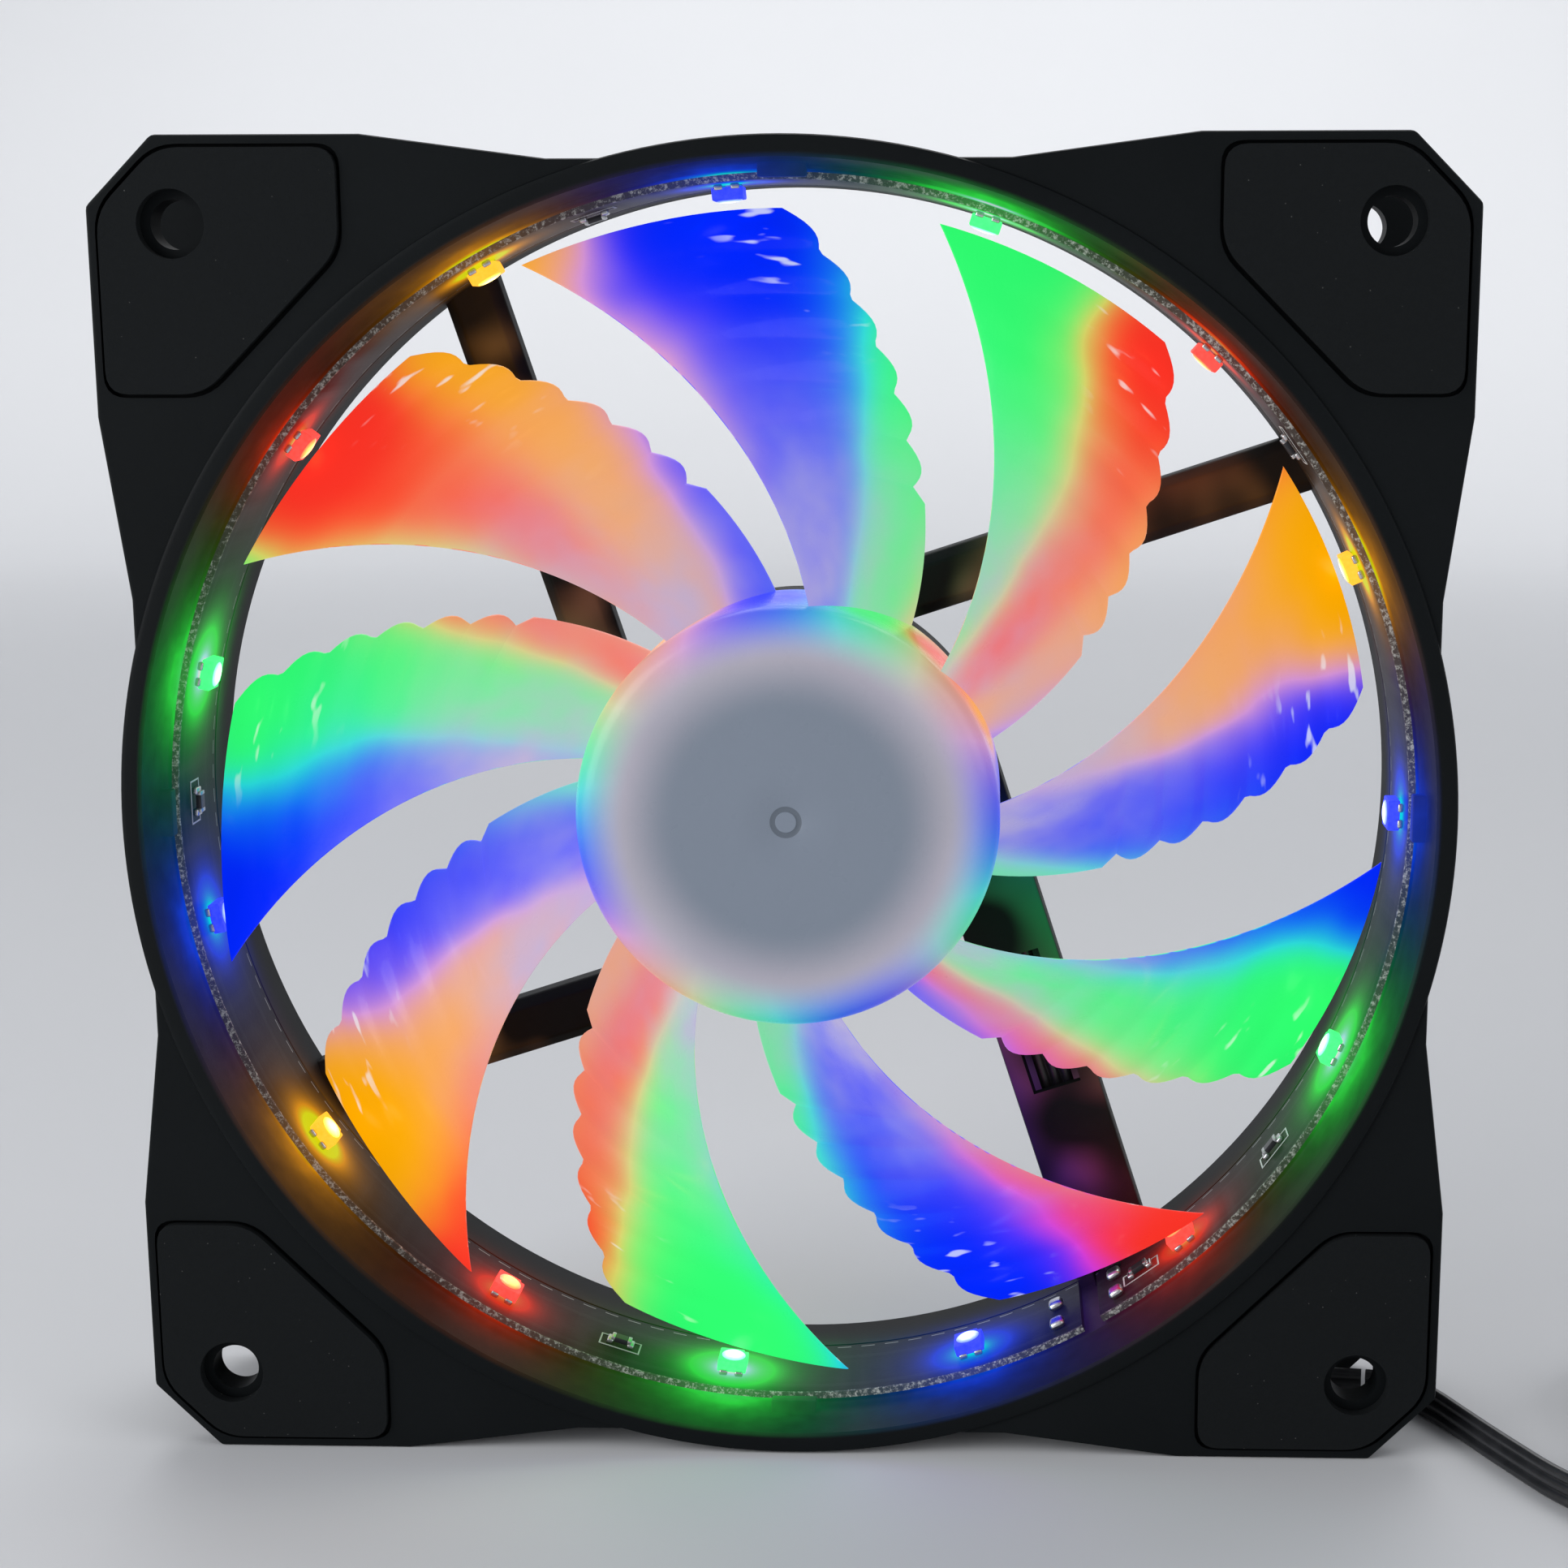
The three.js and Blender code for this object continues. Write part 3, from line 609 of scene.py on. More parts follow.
GLOW = glow_group()


def glow(position, power):
    """The summed LED colour and the summed weight at a position."""
    made = node(position.tree, "ShaderNodeGroup", {"Position": position, "Power": power}, node_tree=GLOW)
    return Value(made.outputs["Colour"]), Value(made.outputs["Weight"])


def pooled_glow(placed, reach, power, limit):
    """Painted light that falls off from each LED on black plastic: about full at reach millimetres."""
    colour, _ = glow(placed, power)
    return vector("MINIMUM", colour * tuple(part * reach ** power for part in PAINTED_GLOW_TINT), limit)


def vivid_glow(position):
    """The mixed LED colour at a position, its dimmer mixtures partly brought back to full brightness."""
    colour, weight = glow(position, 5.0)
    colour = colour / weight
    red, green, blue = parts_of(colour)
    peak = calc("MAXIMUM", calc("MAXIMUM", red, green), blue)
    return colour * peak ** -0.45


def vivid_by_angle(placed, radius):
    """The LED colours as they are at one distance from the axis, carried in to every radius."""
    return vivid_glow(placed * calc("DIVIDE", 46.0, calc("MAXIMUM", radius, 1.0)))


# Materials

def frame_material():
    """Black plastic, with the LEDs' light painted on inside the duct as emission."""
    material = new_material("frame_plastic", (0.006, 0.007, 0.008), 0.5, Specular_IOR_Level=0.07)
    point, placed = object_mm(material), placed_mm(material)
    radius, depth = radius_of(placed), parts_of(placed)[1]
    patches = noise(point, 0.06)
    inside = (1.0 - ramp(radius, LIP_R, LIP_R + 0.5)) * (1.0 - ramp(depth, 2.0, 11.0))
    # Painted LED light pooled on the duct's inside and on the struts' fronts, emitted.
    lit = pooled_glow(placed, 6.0, 3.3, limit=0.75) * inside * (noise(point, 0.5, 2.0) * 0.7 + 0.65)
    lit = lit + light_on_struts(material, placed, radius, depth)
    return surface(material, Base_Color=mix(patches, (0.0035, 0.0045, 0.005), (0.0065, 0.008, 0.009)),
                   Roughness=patches * 0.16 + 0.44, Normal=bump(noise(point, 4.0, 4.0, 0.62), 0.35, 0.035),
                   Emission_Color=lit, Emission_Strength=0.7)


def light_on_struts(material, placed, radius, depth):
    """Painted faint coloured patches: the light that the lit blades throw back onto the fronts of the struts.
    """
    normal = Value(node(material.node_tree, "ShaderNodeNewGeometry").outputs["Normal"])
    front = calc("MULTIPLY", parts_of(normal)[1], -1.0, clamp=True)
    on_strut = ramp(depth, 3.0, 6.0) * front * (1.0 - ramp(radius, 50.0, 54.0))
    patch = ramp(noise(placed, 0.11, 1.0), 0.4, 0.72)
    return vivid_by_angle(placed, radius) * (on_strut * patch * 0.2)


def rubber_material():
    """Dull rubber with a little lint on it."""
    material = new_material("pad_rubber", (0.008, 0.009, 0.01), 0.85, Specular_IOR_Level=0.08)
    point = object_mm(material)
    fine = noise(point, 7.0, 4.0, 0.7)
    specks = node(point.tree, "ShaderNodeTexVoronoi", {"Vector": point, "Scale": 1.1, "Randomness": 1.0})
    lint = calc("LESS_THAN", Value(specks.outputs["Distance"]), 0.055)
    lint = lint * calc("GREATER_THAN", noise(point, 0.35, 1.0), 0.52)
    mottled = mix(fine, (0.004, 0.005, 0.0053), (0.011, 0.0125, 0.0138))
    return surface(material, Base_Color=mix(lint, mottled, (0.09, 0.09, 0.088)), Normal=bump(fine, 0.6, 0.06),
                   Roughness=fine * 0.25 + 0.7)


def frosted(name):
    """Frosted plastic with a clear skin, uneven gloss and slow ripples."""
    material = new_material(name, (0.8, 0.85, 0.9), 0.3, Specular_IOR_Level=0.12, Coat_Weight=0.08,
                            Coat_Roughness=0.06)
    ripple = noise(object_mm(material), 0.5)
    return surface(material, Normal=bump(ripple, 0.22, 0.25), Roughness=ripple * 0.2 + 0.2)


def light_up(material, body, reflected, emitted):
    """Splits a colour between what the surface reflects and painted light that it emits, so that it glows."""
    surface(material, Base_Color=mix(reflected, (0.0, 0.0, 0.0), body), Emission_Color=body,
            Emission_Strength=emitted)


def blade_material():
    """Each blade glows with painted light of the nearest LEDs, purer at the tip and milky towards the hub,
    and has painted glints near the tip.
    """
    material = frosted("frosted_blades")
    placed = placed_mm(material)
    radius = radius_of(placed)
    x, _, z = parts_of(placed)
    chord = attribute(material, "chord")
    drift = (chord * 14.0 - 12.0) * (1.0 - ramp(radius, 34.0, 52.0)) * math.radians(1)
    turned_back = Value(node(placed.tree, "ShaderNodeVectorRotate", {"Vector": placed, "Angle": drift},
                             rotation_type="Y_AXIS").outputs[0])
    wander = (noise(placed, 0.06, 2.0, out=1) - 0.5) * 8.0
    # Painted LED light, which light_up below mostly emits.
    vivid = vivid_glow(turned_back * (calc("MAXIMUM", radius, 44.0) / radius) + wander)
    cloud = calc("MULTIPLY_ADD", noise(placed, 0.08), 2.0, -0.35, clamp=True)
    inner = (1.0 - ramp(radius, 20.0, 47.0)) * cloud
    milky = calc("MULTIPLY", inner, chord * -0.75 + 1.15, clamp=True)
    along = Value(node(placed.tree, "ShaderNodeCombineXYZ",
                       {0: chord * 3.2, 1: radius * 0.5, 2: z * 0.03 + x * 0.04}).outputs[0])
    # Painted glints: short bright streaks near the tips, standing in for the LEDs' reflections in the
    # scallops.
    glint_streaks = ramp(noise(along, 1.7, 1.5), 0.63, 0.71)
    glints = glint_streaks * ramp(radius, 40.0, 50.0) * ramp(chord, 0.45, 0.75) * 0.6
    light_up(material, mix(glints, mix(milky, vivid, (0.5, 0.44, 0.66)), (0.95, 1.0, 0.98)), 0.2, 0.85)
    return material


def hub_material():
    """Milky cup: the steel rotor behind it is painted on as a grey disc of shade, the LEDs' light is painted
    on its rim, and the whole colour is emitted.
    """
    material = frosted("frosted_hub")
    placed = placed_mm(material)
    radius = radius_of(placed)
    # Painted shade: a grey disc where the steel rotor sits behind the cup, paler towards its edge.
    core = mix(ramp(radius, 10.0, 16.8), (0.2, 0.235, 0.295), (0.5, 0.46, 0.54))
    core = mix(noise(placed, 0.09) * 0.3, core, (0.17, 0.2, 0.25))
    dot = calc("COMPARE", radius, 1.2, 0.25) * 0.5
    core = mix(dot, core, (0.04, 0.05, 0.06))
    # Painted LED light on the rim.
    rim = ramp(radius, 14.5, 19.0) * 0.95
    light_up(material, mix(rim, core, vivid_by_angle(placed, radius)), 0.4, 0.6)
    return material


def strip_material():
    """Black solder mask over copper tracks, with a dashed line printed along the rear edge, and painted LED
    light pooled round the LEDs.
    """
    material = new_material("strip_board", (0.02, 0.024, 0.028), 0.38, Specular_IOR_Level=0.04)
    point, placed = object_mm(material), placed_mm(material)
    x, y, z = parts_of(placed)
    mask = mix(noise(point, 0.4), (0.006, 0.008, 0.009), (0.018, 0.021, 0.024))
    tracks = calc("MAXIMUM", calc("COMPARE", y, 2.4, 0.35), calc("COMPARE", y, -4.6, 0.35)) * 0.35
    dash = calc("GREATER_THAN", calc("SINE", calc("ARCTAN2", z, x) * 150.0), -0.2)
    mark = dash * calc("COMPARE", y, STRIP_REAR - 0.55, 0.07) * 0.75
    board = mix(tracks, mask, (0.026, 0.03, 0.032))
    return surface(material, Base_Color=mix(mark, board, (0.42, 0.43, 0.42)),
                   Normal=bump(tracks + noise(point, 3.0, 2.0), 0.3, 0.03),
                   Emission_Color=pooled_glow(placed, 4.4, 3.4, limit=0.9), Emission_Strength=0.7)


def fibre_material():
    """Pale broken laminate along the strip's cut edge, with painted LED light on it."""
    material = new_material("strip_edge", (0.4, 0.41, 0.38), 0.8)
    torn = noise(object_mm(material), 2.6, 5.0, 0.75)
    return surface(material, Base_Color=mix(ramp(torn, 0.48, 0.64), (0.03, 0.03, 0.029), (0.42, 0.43, 0.4)),
                   Normal=bump(torn, 0.8, 0.1), Emission_Strength=0.4,
                   Emission_Color=pooled_glow(placed_mm(material), 4.2, 2.4, limit=0.8))


def lamp_materials():
    """The LED package tinted by its own light, and the bright resin window, for each colour."""
    made = {}
    for name, colour in LED_COLOURS.items():
        dim = tuple(0.03 + 0.2 * part for part in colour)
        package = new_material(f"package_{name}", dim, 0.5, Specular_IOR_Level=0.1)
        tint = mix(noise(object_mm(package), 3.0, 2.0), tuple(0.8 * part for part in colour),
                   tuple(0.04 + 0.96 * part for part in colour))
        surface(package, Emission_Color=tint, Emission_Strength=1.5)
        window = new_material(f"window_{name}", dim, 0.15, Coat_Weight=0.2, Coat_Roughness=0.05)
        speck = noise(object_mm(window), 2.2, 2.0) * 0.5 + 0.45
        share = calc("MULTIPLY", attribute(window, "core"), speck, clamp=True)
        surface(window, Emission_Color=mix(share, colour, LED_CENTRES[name]), Emission_Strength=4.0)
        made[name] = (package, window)
    return made


def shades(colour, dark, light):
    return tuple(dark * part for part in colour), tuple(min(1.0, light * part) for part in colour)


def metal_material(name, colour, roughness, fine=2.0, streak=(1, 1, 1)):
    material = new_material(name, colour, roughness, Metallic=1.0)
    wear = noise(object_mm(material) * streak, fine, 4.0)
    return surface(material, Base_Color=mix(wear, *shades(colour, 0.72, 1.12)),
                   Roughness=wear * 0.3 + (roughness - 0.12), Normal=bump(wear, 0.25, 0.03))


def plain_material(name, colour, roughness, fine=2.0, **sockets):
    """Moulded or pressed matter with a mottled colour, grain and uneven gloss."""
    material = new_material(name, colour, roughness, **sockets)
    point = object_mm(material)
    grain = noise(point, fine, 4.0, 0.6)
    return surface(material, Base_Color=mix(noise(point, 0.2, 2.0), *shades(colour, 0.8, 1.15)),
                   Roughness=grain * 0.2 + (roughness - 0.1), Normal=bump(grain, 0.3, 0.03))


def wound_material():
    """Enamelled copper wire, wound in rows."""
    material = new_material("copper_wire", (0.5, 0.2, 0.08), 0.3, Metallic=1.0, Coat_Weight=0.4)
    point = object_mm(material)
    rows = calc("SINE", vector("LENGTH", point, out=1) * 22.0)
    return surface(material, Base_Color=mix(noise(point, 1.5), (0.36, 0.13, 0.05), (0.62, 0.27, 0.11)),
                   Normal=bump(rows, 0.8, 0.08))


def laminated_material():
    """Stacked sheet steel, seen at its edges."""
    material = new_material("laminations", (0.3, 0.32, 0.34), 0.45, Metallic=1.0)
    sheets = calc("SINE", parts_of(object_mm(material))[1] * 12.6)
    return surface(material, Base_Color=mix(ramp(sheets, -0.6, 0.2), (0.1, 0.1, 0.11), (0.36, 0.38, 0.4)),
                   Normal=bump(sheets, 0.7, 0.06))


def lead_material():
    """Slightly glossy black PVC with drag marks along the wires."""
    material = new_material("lead_pvc", (0.012, 0.0125, 0.0145), 0.32, Specular_IOR_Level=0.55)
    point = object_mm(material)
    scuffs = noise(point, 0.7, 4.0, 0.6)
    return surface(material, Base_Color=mix(scuffs, (0.008, 0.0085, 0.01), (0.02, 0.021, 0.024)),
                   Roughness=scuffs * 0.25 + 0.22, Normal=bump(noise(point, 3.5), 0.15, 0.03))


def label_material():
    """Blank silver film with a faint brushed sheen."""
    material = new_material("label_foil", (0.62, 0.63, 0.65), 0.35, Metallic=0.6)
    brushed = noise(object_mm(material) * (0.15, 1, 5), 1.6, 4.0)
    return surface(material, Base_Color=mix(brushed, (0.52, 0.53, 0.55), (0.7, 0.71, 0.73)),
                   Roughness=brushed * 0.25 + 0.25)


# Frame

def side_outline():
    """Outline of a flange: chamfered corners and drawn-in sides, as (x, z)."""
    side = [(HALF, CHAMFER - HALF), (HALF, -CORNER_REACH), (WAIST, -WAIST_HALF),
            (WAIST, WAIST_HALF), (HALF, CORNER_REACH), (HALF, HALF - CHAMFER)]
    return [spin(x, z, 90 * quarter) for quarter in range(4) for x, z in side]


def pad_outline(sx, sz, grow):
    """Outline of a corner pad, its inner corner cut off, as (x, z)."""
    low, high, cut, chamfer = 38 - grow, 58.9 + grow, 12.3, 5.4
    corners = [(low, high), (high - chamfer, high), (high, high - chamfer), (high, low),
               (low + cut, low), (low, low + cut)]
    return [(sx * x, sz * z) for x, z in rounded(corners, 2.0)]


def strut_section():
    wide, front, edge = 5.5, 8.6, 1.0
    z0, z1 = STRUT_OFFSET - wide / 2, STRUT_OFFSET + wide / 2
    return [(PLATE, z0), (front + edge, z0), (front, z0 + edge), (front, z1 - edge),
            (front + edge, z1), (PLATE, z1)]


def bar_section(wide, low, high, offset=STRUT_OFFSET):
    z0, z1 = offset - wide / 2, offset + wide / 2
    return [(high, z0), (low, z0), (low, z1), (high, z1)]


def duct_profile():
    return [
        (LIP_R, -FACE + 0.25), (LIP_R + 0.25, -FACE), (DUCT_R - 0.5, -FACE), (DUCT_R - 0.12, -FACE + 0.14),
        (DUCT_R, -PLATE), (DUCT_R, PLATE), (DUCT_R - 0.12, FACE - 0.14), (DUCT_R - 0.5, FACE),
        (THROAT_R + 0.9, FACE), (THROAT_R + 0.35, FACE - 0.2), (THROAT_R, FACE - 0.9),
        (THROAT_R, STRIP_REAR + GAP), (RECESS_R, STRIP_REAR + GAP), (RECESS_R, STRIP_FRONT - 0.2),
        (LIP_R - 0.4, STRIP_FRONT - 0.6), (LIP_R - 0.15, -9.6),
    ]


def base_profile():
    """The motor base's disc, rim and label recess."""
    radius, inside, tube = 19.0, 17.8, 4.1
    return [(tube, 9), (inside, 9), (inside, 6.85), (inside + 0.25, 6.6), (radius - 0.25, 6.6),
            (radius, 6.85), (radius, PLATE), (inside, PLATE), (inside - 1, 11.8), (tube, 11.8)]


def make_frame(material):
    """The duct, both flanges, the struts with the lead's channel, the motor base and the strip's clips."""
    shell = turned("duct", duct_profile(), 256)
    outline = side_outline()
    flanges = []
    for low in (-PLATE, PLATE - FLANGE):
        made = bevelled(plate("flange", outline, low, low + FLANGE), 0.35, 2, 12)
        combine(made, [disc("bore", RECESS_R + 1.2, low - 1, low + FLANGE + 1, 256)], "DIFFERENCE")
        flanges.append(made)
    combine(shell, flanges, "UNION")
    struts = [bevelled(prism_along_x("strut", strut_section(), 0, STRUT_END, 18 + 90 * k), 0.25)
              for k in range(3)]
    channel = prism_along_x("channel", bar_section(8.4, 6.9, PLATE), 0, STRUT_END, CHANNEL_ANGLE)
    combine(shell, struts + [bevelled(channel, 0.35)], "UNION")
    combine(shell, [disc("clear", 17.8, -SCREW_REACH, SCREW_REACH, 160)], "DIFFERENCE")
    base = turned("base", base_profile(), 160)
    tube = turned("tube", [(3.6, -6.3), (3.8, -6.5), (4.4, -6.5), (4.6, -6.3), (4.6, 11.8), (3.6, 11.8)], 64)
    combine(shell, [base, tube], "UNION")
    section = bar_section(4.3, STRIP_FRONT - GAP - 1.5, STRIP_FRONT - GAP, offset=0)
    clips = [bevelled(prism_along_x("clip", section, THROAT_R + 0.1, THROAT_R + 1.7, 90 * k), 0.18)
             for k in range(4)]
    combine(shell, clips, "UNION")
    cuts = [(3, 61, 8, 10.9), (2, 12, 6, 10.9), (22, 36, 6, 10.9), (49, 61, 4.6, 10.9)]
    cutters = [prism_along_x("cut", bar_section(4.8, low, high), start, end, CHANNEL_ANGLE)
               for start, end, low, high in cuts]
    for sx, sz in CORNERS.values():
        for low, high in ((-FACE - 1, -FACE + 1.5), (FACE - 1.5, FACE + 1)):
            cutters.append(plate("recess", pad_outline(sx, sz, GAP), low, high))
        cutters.append(disc("screw_hole", HOLE_R, -SCREW_REACH, SCREW_REACH, 48, sx * HOLE_AT, sz * HOLE_AT))
    combine(shell, cutters, "DIFFERENCE")
    shell.name = "frame_body"
    dress(shell, material, replaces=("frame",))


def make_pads(material):
    for corner, (sx, sz) in CORNERS.items():
        for side, low in (("front", -FACE), ("rear", FACE - PAD_THICK)):
            pad = plate(f"{side}_rubber_{corner}", pad_outline(sx, sz, 0), low, low + PAD_THICK)
            hole = disc("hole", 2.95, low - 1, low + 3, 40, sx * HOLE_AT, sz * HOLE_AT)
            combine(pad, [hole], "DIFFERENCE")
            bevelled(pad, 0.28, 3, 40)
            dress(pad, material, replaces=(f"{side}_pad_{corner}",))


# LED strip

def make_strip(board, edge):
    """The flexible board, its pale front edge a little ragged."""
    chance = random.Random(5)
    start, sweep, steps = STRIP_SEAM + 1, 358, 716
    points = []
    ragged = 0.0
    for step in range(steps + 1):
        angle = start + sweep * step / steps
        ragged = 0.6 * ragged + chance.uniform(0, 0.1)
        inner = THROAT_R + chance.uniform(0, 0.06)
        for r, y in ((inner, STRIP_FRONT + ragged), (STRIP_OUT, STRIP_FRONT + 0.04),
                     (STRIP_OUT, STRIP_REAR), (THROAT_R, STRIP_REAR), (THROAT_R, STRIP_FRONT + 0.35)):
            x, z = spin(r, 0, angle)
            points.append((x, y, z))
    strip = mesh_object("led_strip_board", points, capped_faces(steps + 1, 5))
    dress(strip, [board, edge], replaces=("led_strip",), flat_faces=False)
    middle_y = (STRIP_FRONT + 0.3) * MM
    for face in strip.data.polygons:
        if face.center.y < middle_y:
            face.material_index = 1


def on_strip(made, angle, y, radius):
    """Turns a small piece, made with X inward-to-outward and Z along the strip, into its place."""
    lift = Matrix.Translation((0, 0, AXIS_HEIGHT))
    turn = Matrix.Rotation(-math.radians(angle), 4, "Y")
    made.data.transform(lift @ turn @ Matrix.Translation((radius * MM, y * MM, 0)))
    return made


def lamp_mesh():
    """LED package with a round window: X is outward, Y along the fan's axis, Z along the strip."""
    body = box("package", (0, -LED_DEEP / 2, -LED_WIDE / 2), (LED_TALL, LED_DEEP / 2, LED_WIDE / 2), 0)
    corner = box("corner", (-1, 1.3, 0.95), (LED_TALL + 1, 3, 3), 0)
    combine(body, [corner], "DIFFERENCE")
    bevelled(body, 0.12, 2)
    points, rings, sides = [], 5, 28
    for ring in range(rings):
        turn = ring / (rings - 1) * math.pi / 2
        radius = 1.15 * math.cos(turn) + 0.001
        points += [(-0.02 - 0.2 * math.sin(turn), WINDOW_OVAL * y, z) for y, z in circle(sides, radius)]
    window = mesh_object("window", points, capped_faces(rings, sides), 0)
    window_faces = len(window.data.polygons)
    lamp = joined("lamp", [body, window])
    total = len(lamp.data.polygons)
    for face in lamp.data.polygons:
        face.material_index = int(face.index >= total - window_faces)
    core = lamp.data.attributes.new("core", "FLOAT", "POINT")
    for vertex in lamp.data.vertices:
        away = math.hypot(vertex.co.y / WINDOW_OVAL, vertex.co.z) / MM
        core.data[vertex.index].value = max(0.0, min(1.0, 1.25 - away))
    return lamp


def make_lamps(materials):
    pattern = lamp_mesh()
    for k in range(LED_COUNT):
        lamp = added(f"lamp_{k + 1}", pattern.data.copy())
        indices = [face.material_index for face in lamp.data.polygons]
        on_strip(lamp, led_angle(k), LED_Y, THROAT_R - GAP - LED_TALL)
        colour = LED_ORDER[k % len(LED_ORDER)]
        dress(lamp, materials[colour], replaces=(f"led_{k + 1}",))
        lamp.data.polygons.foreach_set("material_index", indices)
    bpy.data.objects.remove(pattern)


def sideways(name, side, x, half_deep, z):
    """A box along the strip, its Z reaches counted from the middle towards one side."""
    low, high = sorted((side * z[0], side * z[1]))
    return box(name, (x[0], -half_deep, low), (x[1], half_deep, high), 0)


def make_resistors(body_material, tin, ink):
    """Chip resistors with tinned ends, each in a printed outline."""
    chip_r = THROAT_R - GAP - 0.5
    for k, angle in enumerate(RESISTOR_ANGLES):
        chip = bevelled(box("chip", (0, -0.6, -0.66), (0.5, 0.6, 0.66), 0), 0.05)
        on_strip(chip, angle, LED_Y, chip_r)
        chip.name = f"chip_{k + 1}"
        dress(chip, body_material, replaces=(f"resistor_{k + 1}",))
        ends = []
        for side in (-1, 1):
            ends.append(bevelled(sideways("end", side, (-0.02, 0.5), 0.6, (0.62, 1.0)), 0.08))
            ends.append(bevelled(sideways("fillet", side, (0.3, 0.79), 0.7, (0.7, 1.35)), 0.14, 3))
        dress(on_strip(joined(f"chip_ends_{k + 1}", ends), angle, LED_Y, chip_r), tin)
        bars = []
        for y0, y1, z0, z1 in ((-1.3, -1.15, -1.9, 1.9), (1.15, 1.3, -1.9, 1.9),
                               (-1.3, 1.3, -2.05, -1.9), (-1.3, 1.3, 1.9, 2.05)):
            bars.append(box("ink", (0.0, y0, z0), (0.05, y1, z1), 0))
        dress(on_strip(joined(f"chip_outline_{k + 1}", bars), angle, LED_Y, THROAT_R - 0.1), ink)


def make_solder(tin):
    """Solder fillets at the LEDs' ends and the joints of the feed wires."""
    blobs = []
    for k in range(LED_COUNT):
        for side in (-1, 1):
            for across in (-0.75, 0.75):
                low, high = sorted((side * 1.45, side * 2.05))
                blob = box("fillet", (-0.25, low, across - 0.4), (0.28, high, across + 0.4), 0)
                blobs.append(on_strip(bevelled(blob, 0.16, 3), led_angle(k), LED_Y, THROAT_R - 0.3))
    for angle in (296.6, 303.2):
        for y in (-3.8, 1.2):
            blob = bevelled(box("joint", (-0.55, -0.9, -0.75), (0.3, 0.9, 0.75), 0), 0.5, 4)
            blobs.append(on_strip(blob, angle, y, THROAT_R - 0.35))
    dress(joined("strip_solder", blobs), tin)


# Impeller

HUB_R, HUB_WALL, HUB_FRONT, HUB_REAR, HUB_FACE, HUB_ROUND = 19.3, 1.6, -11.0, 5.8, 1.5, 2.2
BLADES, BLADE_ROOT, BLADE_TIP, BLADE_FIRST, BLADE_SWEEP = 9, 18.6, 54.3, 84.0, 31.4
SCALLOP_FROM, SCALLOPS, SCALLOP_DEPTH, PLEAT_DEPTH = 31.0, 6, 1.1, 0.22
CHORD_STEPS, TIP_SQUEEZE, HUB_SEGMENTS = 20, 0.985, 180


def scallop_wave(radius):
    """1 at the crest of each scallop, and 0 in the notches between them and nearer the hub."""
    along = max(0.0, (radius - SCALLOP_FROM) / (BLADE_TIP - SCALLOP_FROM))
    return abs(math.sin(math.pi * SCALLOPS * along))


def blade_section(radius, first):
    """The loop of points round a blade at a radius, which starts at the leading edge."""
    along = (radius - HUB_R) / (BLADE_TIP - HUB_R)

    def between(root, tip):
        return root + (tip - root) * along
    wave = scallop_wave(radius)
    notch = SCALLOP_DEPTH * (1 - wave) if radius >= SCALLOP_FROM else 0.0
    lead = math.radians(first + BLADE_SWEEP * along)
    wide = math.radians(between(28.3, 25.6)) - notch / radius
    lead_y, trail_y = between(-8.2, -6.0), between(5.0, 4.2)
    sides = {-1: [], 1: []}
    for sign, side in sides.items():
        for step in range(CHORD_STEPS + 1):
            t = (1 - math.cos(math.pi * step / CHORD_STEPS)) / 2
            swell = math.sin(math.pi * t)
            half = 0.05 if step in (0, CHORD_STEPS) else 0.14 + 0.6 * swell ** 0.7
            pleat = PLEAT_DEPTH * wave * max(0.0, (t - 0.55) / 0.45) * min(1.0, (1 - t) * 9)
            y = lead_y + (trail_y - lead_y) * t + 1.5 * swell * (1 - 0.4 * along) + sign * half
            angle = lead - wide * t
            side.append((radius * math.cos(angle), y - (pleat if sign < 0 else 0), radius * math.sin(angle)))
    return sides[-1] + sides[1][::-1]


def blade(first):
    radii = [BLADE_ROOT + (SCALLOP_FROM - BLADE_ROOT) * i / 12 for i in range(12)]
    steps = SCALLOPS * 8
    radii += [SCALLOP_FROM + (BLADE_TIP - 0.25 - SCALLOP_FROM) * i / steps for i in range(steps + 1)]
    loops = [blade_section(radius, first) for radius in radii]
    tip = blade_section(BLADE_TIP, first)
    middle = sum(y for _, y, _ in tip) / len(tip)
    loops.append([(x, middle + (y - middle) * TIP_SQUEEZE, z) for x, y, z in tip])
    size = len(tip)
    last = (len(loops) - 1) * size
    faces = ring_faces(len(loops), size)
    for i in range(size // 2 - 1):
        for start in (0, last):
            faces.append((start + i, start + i + 1, start + size - 2 - i, start + size - 1 - i))
    return mesh_object("blade", [point for loop in loops for point in loop], faces)


def mark_chords(impeller):
    """Writes how far each point lies from its blade's leading edge, 0 to 1, for the frosted material."""
    attribute = impeller.data.attributes.new("chord", "FLOAT", "POINT")
    values = []
    for vertex in impeller.data.vertices:
        x, z = vertex.co.x / MM, (vertex.co.z - AXIS_HEIGHT) / MM
        radius = math.hypot(x, z)
        along = (radius - HUB_R) / (BLADE_TIP - HUB_R)
        lead = BLADE_FIRST + BLADE_SWEEP * along
        back = (lead - math.degrees(math.atan2(z, x))) % (360 / BLADES)
        values.append(min(1.0, back / 27.0))
    attribute.data.foreach_set("value", values)


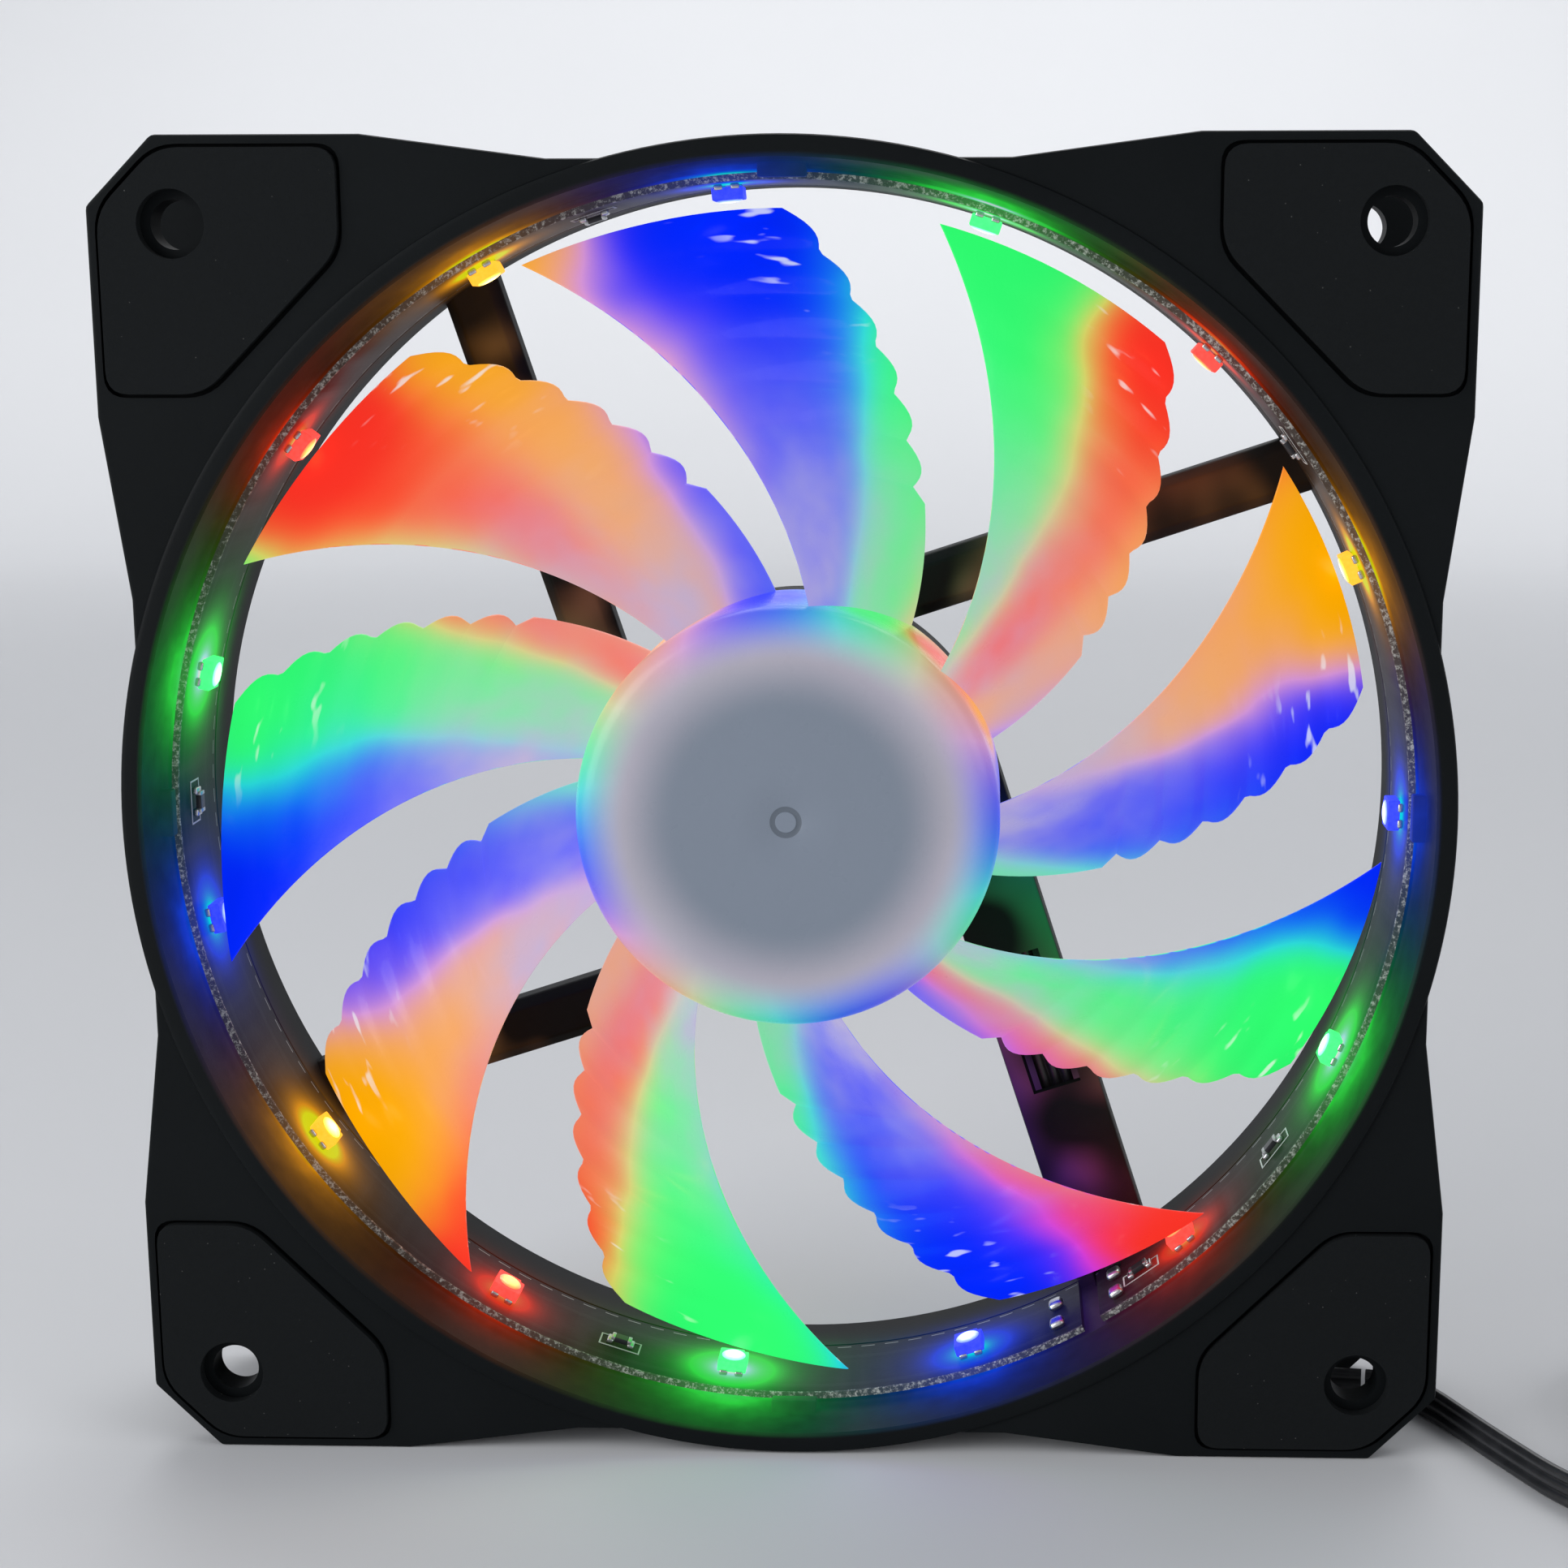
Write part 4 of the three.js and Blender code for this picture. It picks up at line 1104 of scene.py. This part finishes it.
def hub_profile():
    """The cup, with a shallow ring round the middle of its face."""
    rim = []
    for step in range(9):
        turn = math.pi / 2 * step / 8
        radius = HUB_R - HUB_ROUND * (1 - math.sin(turn))
        rim.append((radius, HUB_FRONT + 0.3 + HUB_ROUND * (1 - math.cos(turn))))
    crown = [(radius, HUB_FRONT + back) for radius, back in (
        (0, 0), (0.9, 0), (1.0, 0.14), (1.35, 0.14), (1.5, 0.02), (5, 0.03), (HUB_R * 0.5, 0.08), (14, 0.17),
    )]
    inside = HUB_R - HUB_WALL
    return crown + rim + [(HUB_R, HUB_REAR - 0.2), (HUB_R - 0.2, HUB_REAR), (inside, HUB_REAR),
                          (inside, HUB_FRONT + HUB_FACE), (0, HUB_FRONT + HUB_FACE)]


def make_impeller(blade_material, hub_material):
    hub = turned("impeller_body", hub_profile(), HUB_SEGMENTS)
    blades = [blade(BLADE_FIRST - 360 / BLADES * k) for k in range(BLADES)]
    combine(hub, blades, "UNION")
    combine(hub, [disc("bore", HUB_R - HUB_WALL, HUB_FRONT + HUB_FACE, 20, HUB_SEGMENTS)], "DIFFERENCE")
    mark_chords(hub)
    dress(hub, [blade_material, hub_material], body="rotor", replaces=("impeller",),
          sharp=40, flat_faces=False)
    limit = HUB_R + 0.02
    for face in hub.data.polygons:
        radius = math.hypot(face.center.x, face.center.z - AXIS_HEIGHT) / MM
        face.material_index = int(radius < limit)


# Motor parts that stay as CAD made them

def finish_cad(material, *names):
    for name in names:
        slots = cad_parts[name].data.materials
        slots.clear()
        slots.append(material)


def make_label(material):
    label = bevelled(disc("blank_label", 15.5, 12.1, 12.25, 128), 0.05)
    dress(label, material, replaces=("rear_label",))


# Floor, light and sky

def make_stage():
    """A pale floor that curves up into a backdrop, with a painted soft shadow round a spot behind the fan."""
    pale = (0.82, 0.83, 0.85)
    material = new_material("floor", pale, 0.75)
    point = Value(node(material.node_tree, "ShaderNodeTexCoord").outputs["Object"])
    # Painted shadow: darker round a spot behind the fan.
    away = vector("DISTANCE", point, (-0.05, 0.5, 0.0), out=1)
    painted_shadow_tone = mix(ramp(away, 0.15, 1.0), (0.48, 0.49, 0.51), pale)
    surface(material, Base_Color=mix(noise(point, 6.0) * 0.06, painted_shadow_tone, (0.3, 0.3, 0.31)))
    width, near, far, rise, height = 9000, -9000, 900, 500, 4000
    profile = [(near, 0)]
    for step in range(13):
        turn = math.pi / 2 * step / 12
        profile.append((far + rise * math.sin(turn), rise * (1 - math.cos(turn))))
    profile.append((far + rise, height))
    faces = [(2 * i, 2 * i + 1, 2 * i + 3, 2 * i + 2) for i in range(len(profile) - 1)]
    floor = mesh_object("floor", [(x, y, z) for y, z in profile for x in (-width, width)], faces, 0)
    floor.data.shade_smooth()
    floor.data.materials.append(material)


def area_light(name, location, target, size, power):
    """A square light; its places and size are metres."""
    data = bpy.data.lights.new(name, "AREA")
    data.size = size
    data.energy = power
    lamp = added(name, data)
    lamp.location = location
    lamp.rotation_euler = (Vector(target) - Vector(location)).to_track_quat("-Z", "Y").to_euler()


def make_light():
    world = bpy.data.worlds.new("studio")
    world.use_nodes = True
    sky = world.node_tree.nodes["Background"].inputs
    sky["Color"].default_value = (0.93, 0.95, 1.0, 1.0)
    sky["Strength"].default_value = 0.36
    scene = bpy.context.scene
    scene.world = world
    scene.view_settings.view_transform = "Standard"
    middle = (0, 0, AXIS_HEIGHT)
    area_light("key", (-0.7, -0.45, 0.3), middle, 0.6, 6)
    area_light("fill", (0.7, -0.35, 0.35), middle, 0.5, 1.6)
    area_light("back", (0.0, 0.9, 1.1), (0, 0.7, 0), 1.2, 11)


make_camera()
lead_pvc = lead_material()
nylon = plain_material("connector_nylon", (0.78, 0.76, 0.69), 0.42, Subsurface_Weight=0.08)
tin = metal_material("tin", (0.62, 0.63, 0.64), 0.3, 3.0)
lead_ends = make_connector(nylon, tin)
tie = make_tie(plain_material("tie_nylon", (0.02, 0.02, 0.022), 0.42))
make_free_lead(lead_pvc)
make_held_leads(lead_pvc)

make_frame(frame_material())
make_pads(rubber_material())
make_strip(strip_material(), fibre_material())
make_lamps(lamp_materials())
make_resistors(plain_material("resistor_body", (0.02, 0.02, 0.024), 0.35), tin,
               plain_material("ink", (0.5, 0.52, 0.52), 0.7))
make_solder(tin)
make_impeller(blade_material(), hub_material())
finish_cad(metal_material("steel", (0.55, 0.57, 0.6), 0.3, 1.2, (1, 6, 1)),
           "rotor_yoke", "shaft", "retaining_clip")
finish_cad(plain_material("magnet", (0.035, 0.032, 0.03), 0.7), "magnet_ring")
finish_cad(laminated_material(), "stator_core")
finish_cad(plain_material("nylon", (0.78, 0.75, 0.66), 0.45), "bobbin_front", "bobbin_rear", "oil_seal")
finish_cad(wound_material(), "winding_1", "winding_2", "winding_3", "winding_4")
finish_cad(metal_material("bronze", (0.6, 0.4, 0.18), 0.42, 5.0), "sleeve_bearing")
finish_cad(plain_material("motor_board", (0.01, 0.06, 0.03), 0.4, Coat_Weight=0.3), "motor_board")
finish_cad(plain_material("chip_body", (0.015, 0.015, 0.017), 0.5), "driver_chip")
finish_cad(plain_material("capacitor", (0.42, 0.28, 0.16), 0.5), "board_capacitor")
finish_cad(plain_material("cap_rubber", (0.015, 0.015, 0.016), 0.8), "bearing_cap")
make_label(label_material())
make_stage()
make_light()
